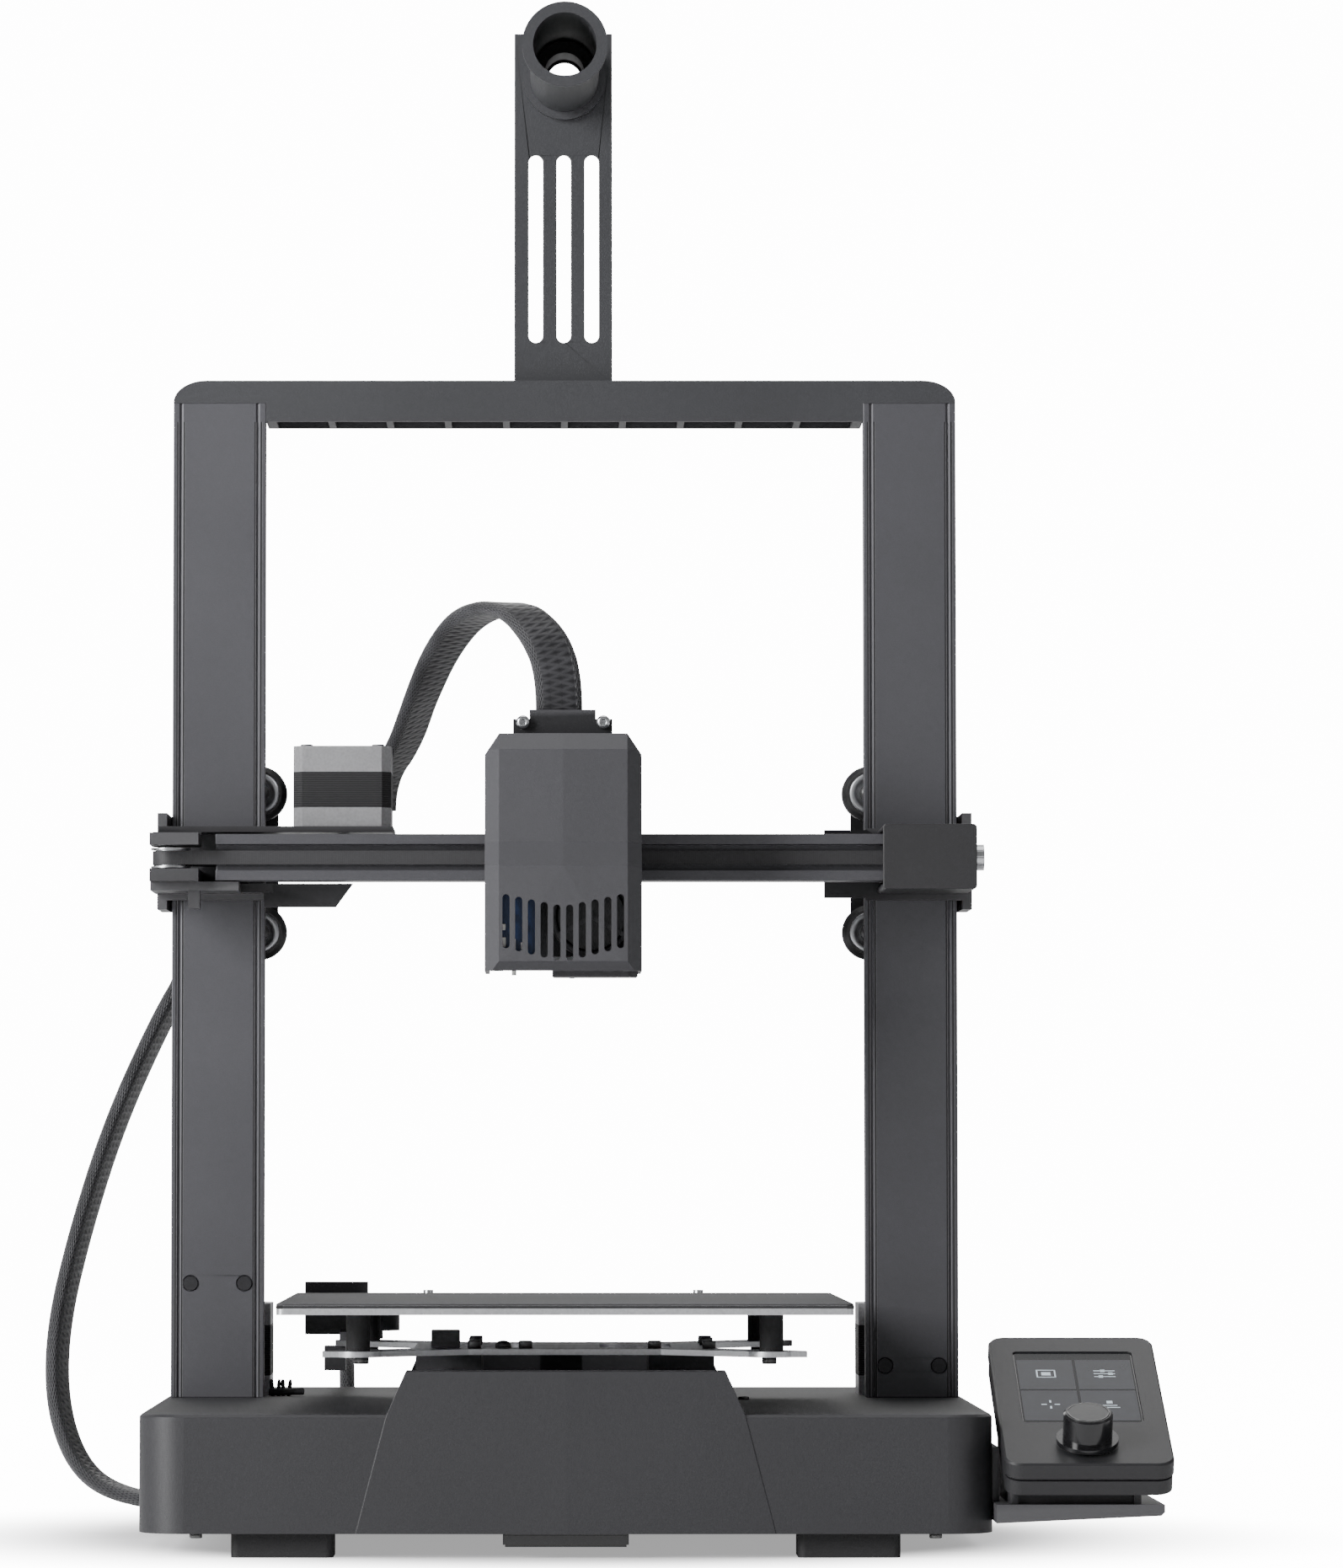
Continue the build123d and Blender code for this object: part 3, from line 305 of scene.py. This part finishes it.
finishes = {
    "shell": finish_material("satin_charcoal", CHARCOAL, 0.42, grain=2600, bump=0.12, vary=0.10),
    "base": finish_material("base_charcoal", (0.026, 0.026, 0.029), 0.44, grain=2600, bump=0.14,
                            vary=0.10),
    "screen": finish_material("screen_charcoal", (0.017, 0.017, 0.019), 0.46, grain=2200, bump=0.12,
                              vary=0.10),
    "end_cover": finish_material("end_charcoal", (0.019, 0.019, 0.021), 0.5, grain=2000, bump=0.3,
                                 vary=0.16),
    "extrusion": finish_material("anodised_charcoal", (0.084, 0.084, 0.093), 0.42, 0.35, grain=3200,
                                 bump=0.10, vary=0.12),
    "plastic": finish_material("matt_charcoal", DARK, 0.5, grain=1800, bump=0.16, vary=0.10),
    # The edge colours below lighten sharp edges: partly wear, partly a painted highlight.
    "black_steel": finish_material("black_steel", (0.018, 0.018, 0.02), 0.40, 0.3, grain=1500,
                                   bump=0.08, edge_wear_and_highlight=(0.09, 0.09, 0.095)),
    "black_plastic": finish_material("black_plastic", BLACK, 0.45, grain=1600, bump=0.18,
                                     edge_wear_and_highlight=(0.05, 0.05, 0.055)),
    "gloss_black": finish_material("gloss_black", (0.008, 0.008, 0.009), 0.16, grain=500,
                                   bump=0.02, coat=0.4),
    "rubber": finish_material("rubber", (0.014, 0.014, 0.015), 0.72, grain=1200, bump=0.3),
    "steel": finish_material("ground_steel", SILVER, 0.24, 1.0, grain=700, bump=0.05,
                             stretch=(1, 1, 12)),
    "aluminium": finish_material("machined_aluminium", (0.72, 0.73, 0.75), 0.3, 1.0, grain=900,
                                 bump=0.06, stretch=(1, 9, 1)),
    "zinc": finish_material("zinc_plate", (0.5, 0.51, 0.53), 0.4, 1.0, grain=80, bump=0.04),
    "brass": finish_material("brass", (0.72, 0.50, 0.20), 0.3, 1.0, grain=800, bump=0.05),
    "pcb": finish_material("circuit_board", (0.012, 0.035, 0.11), 0.35, grain=160, bump=0.1),
    "frame_screw": finish_material("frame_screw", (0.035, 0.035, 0.038), 0.4, 0.5, grain=1000,
                                   bump=0.1),
    "screw": finish_material("black_oxide", (0.03, 0.03, 0.032), 0.35, 0.7, grain=1000, bump=0.1,
                             edge_wear_and_highlight=(0.18, 0.18, 0.18)),
    "sheet": finish_material("powder_sheet", (0.045, 0.045, 0.048), 0.62, 0.2, grain=2400,
                             bump=0.5, vary=0.35),
    "white": finish_material("white_plastic", (0.78, 0.78, 0.75), 0.45, grain=600, bump=0.05),
    "wheel": finish_material("acetal", (0.014, 0.014, 0.015), 0.38, grain=900, bump=0.06,
                             edge_wear_and_highlight=(0.05, 0.05, 0.05)),
    "laminations": waves_material("laminations", (0.008, 0.008, 0.009), (0.03, 0.03, 0.032), 330, "Z",
                                  0.5, 0.2, 0.3),
    "motor": finish_material("motor", (0.6, 0.6, 0.62), 0.35, 0.9, grain=900, bump=0.08),
    "magnet": finish_material("magnet", (0.010, 0.010, 0.011), 0.6, grain=900, bump=0.1),
    "display": finish_material("display", (0.006, 0.0065, 0.008), 0.25, grain=300, bump=0.0, vary=0.2,
                               specular=0.12),
    "tile": finish_material("display_tile", (0.022, 0.024, 0.031), 0.3, grain=200, bump=0.0,
                            vary=0.25, smudge=26, specular=0.25),
    "icon": finish_material("display_icon", (0.62, 0.72, 0.80), 0.3, grain=200, bump=0.0),
    "belt": waves_material("belt", (0.024, 0.024, 0.026), (0.032, 0.032, 0.035), 520, "X", 0.6,
                           bump=0.1),
    # Painted shade and painted highlight: near-black strips inside the uprights' grooves, light strips on
    # their lips.
    "groove_painted_shade": finish_material("groove_painted_shade", (0.006, 0.006, 0.007), 0.6, grain=900, bump=0.02),
    "lip_painted_highlight": finish_material("lip_painted_highlight", (0.20, 0.20, 0.21), 0.4, 0.3, grain=900, bump=0.02),
    "braid": braid_material("braided_sleeve"),
}


def split_by_height(material, height, below):
    """Turns the part of a piece under that height dark: the cable's anchor under the bed's carriage."""
    nodes, links = nodes_of(material)
    shader = nodes["Principled BSDF"]
    where = nodes.new("ShaderNodeTexCoord")
    apart = nodes.new("ShaderNodeSeparateXYZ")
    links.new(where.outputs["Object"], apart.inputs["Vector"])
    over = nodes.new("ShaderNodeMath")
    over.operation = "GREATER_THAN"
    over.inputs[1].default_value = height * MM
    links.new(apart.outputs["Z"], over.inputs[0])
    mixed = nodes.new("ShaderNodeMix")
    mixed.data_type = "RGBA"
    links.new(over.outputs[0], mixed.inputs["Factor"])
    mixed.inputs["A"].default_value = (*below, 1)
    links.new(shader.inputs["Base Color"].links[0].from_socket, mixed.inputs["B"])
    links.new(mixed.outputs["Result"], shader.inputs["Base Color"])
    links.new(over.outputs[0], shader.inputs["Metallic"])


finishes["carriage"] = finish_material("machined_carriage", (0.62, 0.63, 0.65), 0.3, 1.0, grain=900,
                                       bump=0.06, stretch=(1, 9, 1))
split_by_height(finishes["carriage"], 79.98, (0.02, 0.02, 0.022))

node_finish = {
    "base": ["base_cover"],
    "shell": ["toolhead_cover"],
    "screen": ["screen_front_shell", "screen_rear_shell"],
    "end_cover": ["x_end_cover"],
    "extrusion": ["left_upright", "right_upright", "x_rail"],
    "plastic": ["top_beam", "spool_holder", "spool_arm"],
    "black_steel": ["base_bottom_plate", "screen_arm", "left_gantry_bracket",
                    "right_gantry_bracket", "x_carriage"],
    "black_plastic": ["power_inlet", "y_bearings", "z_offset_sensor", "extruder_body",
                      "cable_clamp", "part_fan"],
    "gloss_black": ["power_switch", "display_panel", "screen_knob"],
    "rubber": ["rubber_feet", "bed_standoffs"],
    "steel": ["y_rods", "lead_screw_left", "lead_screw_right", "encoder_shaft"],
    "motor": ["y_motor", "z_motors", "x_motor"],
    "zinc": ["power_supply"],
    "aluminium": ["y_motor_pulley", "y_idler_pulley", "x_motor_pulley", "x_left_idler",
                  "x_right_idler", "heated_bed", "x_tension_knob", "hotend"],
    "carriage": ["bed_carriage_plate"],
    "pcb": ["mainboard"],
    "frame_screw": ["frame_screws"],
    "sheet": ["build_plate"],
    "brass": ["drive_gear"],
    "white": ["probe_pin"],
    "wheel": [f"z_wheel_{side}_{place}" for side in ("left", "right")
              for place in ("top", "bottom", "outer")],
    "belt": ["x_belt", "y_belt"],
}
for finish, names in node_finish.items():
    for name in names:
        part = bpy.data.objects[name]
        if not part.data.materials:
            part.data.materials.append(finishes[finish])
        for slot in part.material_slots:
            slot.material = finishes[finish]


def soften(node, width):
    """Rounds the sharp edges of a CAD node a little, so that they catch the light."""
    part = bpy.data.objects[node]
    weld = part.modifiers.new("weld", "WELD")
    weld.merge_threshold = 0.00001
    bevel = part.modifiers.new("soft_edges", "BEVEL")
    bevel.width = width * MM
    bevel.segments = 2
    bevel.limit_method = "ANGLE"
    bevel.angle_limit = math.radians(35)
    normals = part.modifiers.new("flat_faces", "WEIGHTED_NORMAL")
    normals.weight = 100
    normals.keep_sharp = True


for node, width in (("base_cover", 0.5), ("toolhead_cover", 0.5), ("left_upright", 0.35),
                    ("right_upright", 0.35), ("top_beam", 0.4), ("x_end_cover", 0.4),
                    ("screen_front_shell", 0.35), ("screen_rear_shell", 0.4), ("x_rail", 0.3),
                    ("spool_arm", 0.3), ("heated_bed", 0.15), ("bed_carriage_plate", 0.25),
                    ("left_gantry_bracket", 0.3), ("right_gantry_bracket", 0.3)):
    soften(node, width)

# ------------------------------------------------------------------ cables


def route_line(name, route):
    """The smooth line of a cable: a NURBS spline with the route's points as its control points."""
    curve = bpy.data.curves.new(name + "_route", "CURVE")
    curve.dimensions = "3D"
    curve.resolution_u = 24
    spline = curve.splines.new("NURBS")
    spline.points.add(len(route) - 1)
    for point, place in zip(spline.points, route):
        point.co = (place[0] * MM, place[1] * MM, place[2] * MM, 1)
    spline.order_u = 3
    spline.use_endpoint_u = True
    guide = bpy.data.objects.new(name + "_route", curve)
    mesh = bpy.data.meshes.new_from_object(guide)
    line = [Vector(vertex.co) for vertex in mesh.vertices]
    bpy.data.objects.remove(guide)
    bpy.data.meshes.remove(mesh)
    bpy.data.curves.remove(curve)
    return line


def ribbon(name, route, width, thick, side_at):
    """A flat cable with rounded edges. side_at gives the direction of its width along the way, 0 to 1."""
    line = route_line(name, route)
    along = [0.0]
    for before, after in zip(line, line[1:]):
        along.append(along[-1] + (after - before).length)
    section = []
    flat = (width - thick) / 2
    for corner, start in ((1, -90), (-1, 90)):
        for step in range(7):
            angle = math.radians(start + 30 * step)
            section.append((corner * flat + thick / 2 * math.cos(angle),
                            thick / 2 * math.sin(angle)))
    build = bmesh.new()
    uv = build.loops.layers.uv.new("UVMap")
    rings = []
    for index, place in enumerate(line):
        before, after = line[max(index - 1, 0)], line[min(index + 1, len(line) - 1)]
        forward = (after - before).normalized()
        side = Vector(side_at(along[index] / along[-1]))
        side = (side - forward * side.dot(forward)).normalized()
        up = forward.cross(side)
        rings.append([build.verts.new(place + side * a * MM + up * b * MM) for a, b in section])
    count = len(section)
    for index in range(len(rings) - 1):
        for k in range(count):
            corners = (rings[index][k], rings[index][(k + 1) % count],
                       rings[index + 1][(k + 1) % count], rings[index + 1][k])
            face = build.faces.new(corners)
            face.smooth = True
            for loop, (u, v) in zip(face.loops, ((k, 0), (k + 1, 0), (k + 1, 1), (k, 1))):
                loop[uv].uv = (u / count * 0.052, along[index + v])
    build.faces.new(list(reversed(rings[0])))
    build.faces.new(rings[-1])
    bmesh.ops.recalc_face_normals(build, faces=build.faces)
    mesh = bpy.data.meshes.new(name)
    build.to_mesh(mesh)
    build.free()
    piece = bpy.data.objects.new(name, mesh)
    bpy.context.collection.objects.link(piece)
    mesh.materials.append(finishes["braid"])
    return piece, line, along[-1]


toolhead_cable_route = [
    (-2.5, -47.0, 351.2),
    (-2.5, -47.0, 367.0),
    (-9.0, -43.0, 384.0),
    (-22.0, -32.0, 397.0),
    (-40.0, -13.0, 396.0),
    (-53.0, 7.0, 382.0),
    (-63.0, 28.0, 361.0),
    (-70.0, 50.0, 343.0),
    (-81.0, 67.0, 328.0),
    (-81.0, 67.0, 315.0),
]
gantry_cable_route = [
    (-164.4, 76.0, 262.0),
    (-164.4, 76.0, 246.0),
    (-178.0, 71.0, 222.0),
    (-197.5, 60.0, 177.0),
    (-211.5, 48.0, 130.0),
    (-220.5, 37.0, 88.0),
    (-220.0, 28.0, 54.0),
    (-210.0, 21.0, 28.0),
    (-192.0, 16.5, 16.0),
    (-174.0, 15.0, 14.0),
]
bed_cable_route = [
    (-100.0, 168.5, 26.0),
    (-100.0, 206.4, 26.0),
    (-100.0, 221.0, 40.6),
    (-100.0, 221.0, 61.4),
    (-100.0, 206.4, 76.0),
    (-100.0, 168.0, 77.0),
    (-100.0, 112.0, 74.5),
    (-100.0, 52.0, 74.0),
]


def toolhead_cable_side(share):
    """The ribbon is square to the front at the toolhead and turns nearly edge-on at the gantry."""
    turn = math.radians(8 + 50 * min(1, max(0, (share - 0.1) / 0.6)))
    return math.cos(turn), math.sin(turn), 0


RIBBON_WIDTH = 20.0
RIBBON_THICK = 6.0

piece, line, length = ribbon("flat_cable_toolhead", toolhead_cable_route, RIBBON_WIDTH,
                             RIBBON_THICK, toolhead_cable_side)
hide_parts("toolhead_cable")
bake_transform(piece)

piece, line, length = ribbon("flat_cable_gantry", gantry_cable_route, RIBBON_WIDTH,
                             RIBBON_THICK, lambda share: (0.24, 0.97, 0))
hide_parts("gantry_cable")
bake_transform(piece)

piece, line, length = ribbon("round_cable_bed", bed_cable_route, 7.0, 6.8, lambda share: (1, 0, 0))
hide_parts("bed_cable")
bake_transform(piece)

# ------------------------------------------------------------------ pieces that the CAD leaves plain


def add_prism(build, outline, low, high, bevel=0.0):
    """A prism on +Z with its long edges rounded. Places are in millimetres."""
    made = bmesh.new()
    bottom = [made.verts.new(mm(x, y, low)) for x, y in outline]
    face = made.faces.new(bottom)
    grown = bmesh.ops.extrude_face_region(made, geom=[face])
    top = [v for v in grown["geom"] if isinstance(v, bmesh.types.BMVert)]
    bmesh.ops.translate(made, verts=top, vec=mm(0, 0, high - low))
    if bevel:
        bmesh.ops.bevel(made, geom=made.edges[:], offset=bevel * MM, segments=2, affect="EDGES",
                        clamp_overlap=True)
    bmesh.ops.recalc_face_normals(made, faces=made.faces)
    join_shape(build, made)


def join_shape(build, made, turn=None):
    """Adds one shape to a piece, turned and moved by a matrix if one is given."""
    if turn is not None:
        bmesh.ops.transform(made, matrix=turn, verts=made.verts)
    scratch = bpy.data.meshes.new("scratch")
    made.to_mesh(scratch)
    made.free()
    build.from_mesh(scratch)
    bpy.data.meshes.remove(scratch)


def add_box(build, low, high, bevel=0.2, turn=None):
    """A box with rounded edges, between two corners in millimetres."""
    made = bmesh.new()
    bmesh.ops.create_cube(made, size=1)
    size = [(b - a) * MM for a, b in zip(low, high)]
    middle = [(a + b) / 2 * MM for a, b in zip(low, high)]
    place = Matrix.Translation(middle) @ Matrix.Diagonal((*size, 1))
    bmesh.ops.transform(made, matrix=place, verts=made.verts)
    if bevel:
        bmesh.ops.bevel(made, geom=made.edges[:], offset=bevel * MM, segments=2, affect="EDGES",
                        clamp_overlap=True)
    join_shape(build, made, turn)


def turned_to(axis, place):
    """The matrix that takes a shape on +Z to that axis and place, in millimetres."""
    return Matrix.Translation(mm(*place)) @ Vector(axis).to_track_quat("Z", "Y").to_matrix().to_4x4()


def add_lathe(build, axis, place, profile, sides=32, open_ends=False):
    """A turned shape: profile holds (radius, height) pairs, with height along the axis from place."""
    made = bmesh.new()
    rings = []
    for radius, height in profile:
        rings.append([
            made.verts.new(mm(radius * math.cos(math.tau * k / sides),
                              radius * math.sin(math.tau * k / sides), height))
            for k in range(sides)
        ])
    for low, high in zip(rings, rings[1:]):
        for k in range(sides):
            face = made.faces.new((low[k], low[(k + 1) % sides], high[(k + 1) % sides], high[k]))
            face.smooth = sides > 8
    if not open_ends:
        made.faces.new(list(reversed(rings[0])))
        made.faces.new(rings[-1])
    bmesh.ops.recalc_face_normals(made, faces=made.faces)
    join_shape(build, made, turned_to(axis, place))


def add_button_screw(build, axis, place, radius, height=1.6):
    """A button head with a round socket. place is the head's seat."""
    rounded = [(radius, 0), (radius, height * 0.35), (radius * 0.82, height * 0.8),
               (radius * 0.6, height)]
    add_lathe(build, axis, place, rounded + [(radius * 0.42, height), (radius * 0.40, height * 0.3)],
              24)


def add_cap_screw(build, axis, place, radius, height):
    """A cylinder head with a socket. place is the head's seat."""
    add_lathe(build, axis, place, [(radius, 0), (radius, height - 0.3), (radius - 0.3, height),
                                   (radius * 0.5, height), (radius * 0.48, height * 0.4)], 24)


def made_piece(name, build, finish, body):
    """Makes one object of the shapes gathered in build, which then rides on that body."""
    mesh = bpy.data.meshes.new(name)
    build.to_mesh(mesh)
    build.free()
    piece = bpy.data.objects.new(name, mesh)
    bpy.context.collection.objects.link(piece)
    mesh.materials.append(finishes[finish])
    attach(piece, body)


def millimetres(node):
    """The low and high corners of a CAD node's box."""
    low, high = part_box(node)
    return [v / MM for v in low], [v / MM for v in high]


def clipped_square(x, y, half, clip):
    """The outline of a motor: a square with its corners cut off."""
    corners = ((1, -1), (1, 1), (-1, 1), (-1, -1))
    outline = []
    for a, b in corners:
        first, second = (x + a * half, y + b * (half - clip)), (x + a * (half - clip), y + b * half)
        outline += [first, second] if a == b else [second, first]
    return outline


# Motors: black laminations between the bright end caps, and the four long screws.
low, high = millimetres("x_motor")
x_motor_x, x_motor_y = -96.5, 34.2
build = bmesh.new()
add_prism(build, clipped_square(x_motor_x, x_motor_y, 21.22, 3.9), 313.5, 328.9, 0)
made_piece("x_motor_laminations", build, "laminations", "gantry")
build = bmesh.new()
for a in (-15.5, 15.5):
    for b in (-15.5, 15.5):
        add_cap_screw(build, (0, 0, 1), (x_motor_x + a, x_motor_y + b, high[2] - 0.2), 2.7, 1.0)
made_piece("x_motor_screws", build, "screw", "gantry")
build = bmesh.new()
for side in (-150.3, 150.3):
    add_prism(build, clipped_square(side, 82, 21.22, 3.9), 66.5, 88.5, 0)
made_piece("z_motor_laminations", build, "laminations", "base")

# Bed: the black magnet under the sheet, the screws in the carriage and its connector.
low, high = millimetres("heated_bed")
build = bmesh.new()
add_box(build, (low[0] - 0.08, low[1] - 0.08, 100.5), (high[0] + 0.08, high[1] + 0.08, 101.72), 0.1)
made_piece("bed_magnet", build, "magnet", "bed")
build = bmesh.new()
for x, y in ((-38, -80), (-16.6, -80), (37.3, -80), (60, -80), (-38, 0), (60, 0), (-38, -30),
             (60, -30)):
    add_cap_screw(build, (0, 0, 1), (x, y, 82.4), 2.8, 3.2)
add_lathe(build, (0, 0, 1), (-26, -70, 82.4), [(3.4, 0), (3.2, 1.6), (2.2, 2.6), (0.8, 3.0)], 24)
for x, y in ((-84, -118), (84, -118), (-84, 41), (84, 41)):
    add_cap_screw(build, (0, 0, -1), (x, y, 80.0), 3.0, 3.0)
made_piece("bed_carriage_screws", build, "screw", "bed")
build = bmesh.new()
add_box(build, (-56, -78, 82.4), (-44, -70, 90), 0.3)
add_box(build, (-54.5, -79.4, 84.6), (-45.5, -77.8, 88.4), 0.2)
made_piece("bed_connector", build, "black_plastic", "bed")

# Wheels: the bearing's bright ring, and the axle's screw.
rail_z = 290.7
for side, side_name in ((-1, "left"), (1, "right")):
    places = {"top": (side * 133.6, rail_z + 30.4), "bottom": (side * 133.6, rail_z - 30.4),
              "outer": (side * 168.0, rail_z)}
    for place_name, (x, z) in places.items():
        build = bmesh.new()
        add_lathe(build, (0, -1, 0), (x, 43.5, z), [(8.8, 0), (8.8, 0.5), (8.3, 0.8), (6.2, 0.8),
                                                   (6.0, 0.4), (2.6, 0.4)], 32)
        made_piece(f"wheel_bearing_{side_name}_{place_name}", build, "zinc",
                   f"wheel_{side_name}_{place_name}")
    build = bmesh.new()
    for x, z in places.values():
        add_button_screw(build, (0, -1, 0), (x, 43.0, z), 4.3, 2.0)
        add_lathe(build, (0, 1, 0), (x, 64.0, z), [(4.5, 0), (4.5, 3.6), (4.1, 4.0)], 6)
    made_piece(f"wheel_screws_{side_name}", build, "screw", "gantry")

# Toolhead: the board and the fan's ring behind the slots, the air duct and the clamp's screws.
build = bmesh.new()
add_box(build, (-29.0, -78.6, 243.5), (-12.5, -77.2, 286), 0.1)
made_piece("toolhead_board", build, "pcb", "toolhead")
build = bmesh.new()
add_box(build, (-12.2, -65.6, 243.5), (-6.6, -64.4, 288), 0.2)
add_box(build, (27.4, -65.6, 243.5), (30.2, -64.4, 288), 0.2)
made_piece("toolhead_shroud", build, "black_plastic", "toolhead")
build = bmesh.new()
for x, z, w, h in ((-27.5, 250, 2.6, 4), (-23, 247.5, 2.2, 6), (-18.6, 249, 2.6, 3), (-18, 256, 2, 4),
                   (-26.6, 257, 1.6, 2.6), (-22.6, 261, 1.6, 3)):
    add_box(build, (x, -80.2, z), (x + w, -78.5, z + h), 0.15)
made_piece("board_connectors", build, "white", "toolhead")
build = bmesh.new()
add_lathe(build, (0, -1, 0), (11, -66, 263), [(15.0, 0), (15.0, 10), (17.2, 10), (17.2, 0), (15.0, 0)],
          48, True)
for turn in range(3):
    angle = math.radians(30 + 120 * turn)
    spoke = Matrix.Translation(mm(11, -76.2, 263)) @ Matrix.Rotation(angle, 4, "Y")
    add_box(build, (0, -0.6, -1.0), (16, 0.6, 1.0), 0.2, spoke)
made_piece("part_fan_frame", build, "black_plastic", "toolhead")
build = bmesh.new()
add_prism(build, [(-5.4, -72), (27, -72), (30.6, -68.5), (30.6, -47), (-5.4, -47)], 237.8, 241.4, 0.4)
made_piece("fan_duct", build, "black_plastic", "toolhead")
build = bmesh.new()
for side in (-1, 1):
    add_button_screw(build, (0, -1, 0), (-0.8 + side * 17, -58.1, 345.8), 2.9, 1.5)
made_piece("clamp_screws", build, "steel", "toolhead")

# Base: small screws, the dark lip under the front, the power inlet's pins and the cable's grommet.
build = bmesh.new()
for x, y in ((72, 20), (77, 8)):
    add_cap_screw(build, (0, 0, 1), (x, y, 58.0), 2.4, 1.2)
for x in (-150, 150):
    add_cap_screw(build, (0, 0, -1), (x, -158, 10.0), 2.6, 2.2)
made_piece("base_screws", build, "screw", "base")
build = bmesh.new()
add_box(build, (-25.5, -166, 4.6), (25.5, -150, 10.2), 0.9)
made_piece("base_front_lip", build, "gloss_black", "base")
build = bmesh.new()
for blade in (104.5, 112, 119.5):
    add_box(build, (blade - 1, 148, 26), (blade + 1, 162, 32), 0.3)
made_piece("inlet_blades", build, "steel", "base")
build = bmesh.new()
add_box(build, (-176.6, 3.4, 9.4), (-173.2, 26.6, 18.4), 0.5)
made_piece("cable_grommet", build, "black_plastic", "base")

# Uprights: the fine grooves along the extrusions' front faces, as near-black strips of painted shade with
# light strips of painted highlight on their lips.
for name, finish, width, shift in (("upright_painted_shade_lines", "groove_painted_shade", 0.55, 0.0),
                                   ("upright_lip_painted_highlights", "lip_painted_highlight", 0.16, 0.42)):
    build = bmesh.new()
    for upright_x in (-150.8, 150.8):
        for line_x in (-18.3, -15.5, 15.5, 18.3):
            middle = upright_x + line_x + shift
            add_box(build, (middle - width / 2, 31.44, 58.2), (middle + width / 2, 31.52, 483.2), 0)
    made_piece(name, build, finish, "base")

# Wires that come up through the base beside the left upright.
build = bmesh.new()
for wire, (x, lean) in enumerate(((-127.4, -0.10), (-125.0, 0.04), (-122.8, -0.05), (-120.6, 0.12))):
    add_lathe(build, (lean, 0.05, 1), (x, 52, 57.8), [(0.9, 0), (0.9, 6.6 - wire % 2), (0.5, 7.4)], 12)
add_lathe(build, (1, -0.1, 0.03), (-129, 50, 59.6), [(1.5, 0), (1.5, 15), (1.1, 15.4)], 16)
made_piece("wire_stubs", build, "black_plastic", "base")

# Screen: a dark display with four tiles, each with a plain generic icon.
tilt = math.radians(23.7)
face_up = Vector((0, math.cos(tilt), math.sin(tilt)))
face_out = Vector((0, -math.sin(tilt), math.cos(tilt)))
face = Matrix.Translation(mm(210.7, -131.0, 63.0)) @ Matrix(
    ((1, 0, 0), face_up, face_out)).transposed().to_4x4()
build = bmesh.new()
add_box(build, (-24.2, 12 - 33.0, -0.62), (24.2, 12 + 33.0, -0.5), 0.0, face)
made_piece("display_picture", build, "display", "base")
build = bmesh.new()
for column in (-1, 1):
    for row in (-1, 1):
        x, y = column * 12.1, 9.6 + row * 14.6
        add_box(build, (x - 11.5, y - 14.0, -0.5), (x + 11.5, y + 14.0, -0.44), 0.0, face)
made_piece("display_tiles", build, "tile", "base")
build = bmesh.new()


def icon(x, y, parts):
    """One icon on its tile, drawn with small raised bars."""
    for low_x, low_y, high_x, high_y in parts:
        add_box(build, (x + low_x, y + low_y, -0.44), (x + high_x, y + high_y, -0.40), 0.0, face)


icon(-12.1, 25, [(-4, -3.4, -3.4, 3.4), (3.4, -3.4, 4, 3.4), (-4, 3, 4, 3.6), (-4, -3.6, 4, -3),
                 (-1.9, -1.6, 1.9, 1.4)])
icon(12.1, 25, [(-4.4, 2.4, 4.4, 3.0), (-4.4, -0.3, 4.4, 0.3), (-4.4, -3.0, 4.4, -2.4),
                (-1.6, 1.6, 0.2, 3.8), (1.6, -1.1, 3.4, 1.1), (-2.6, -3.8, -0.8, -1.6)])
icon(-12.1, -4, [(-3.8, -0.4, -1.6, 0.4), (1.6, -0.4, 3.8, 0.4), (-0.4, 1.6, 0.4, 3.8),
                 (-0.4, -3.8, 0.4, -1.6)])
icon(12.1, -4, [(-4, -3.2, 4, -2.6), (-3, -1.2, 3, -0.6), (-1.2, 0.8, 1.2, 3.2)])
made_piece("display_icons", build, "icon", "base")
build = bmesh.new()
knob = face @ Matrix.Translation(mm(0, -42, 0))
knob_place = [v / MM for v in knob.translation]
seat = [a + b * 14.4 for a, b in zip(knob_place, face_out)]
add_lathe(build, face_out, seat, [(8.6, -0.1), (8.6, 0.10), (8.2, 0.14), (7.9, 0.0), (2.0, -0.1)], 48)
made_piece("knob_cap", build, "gloss_black", "knob")
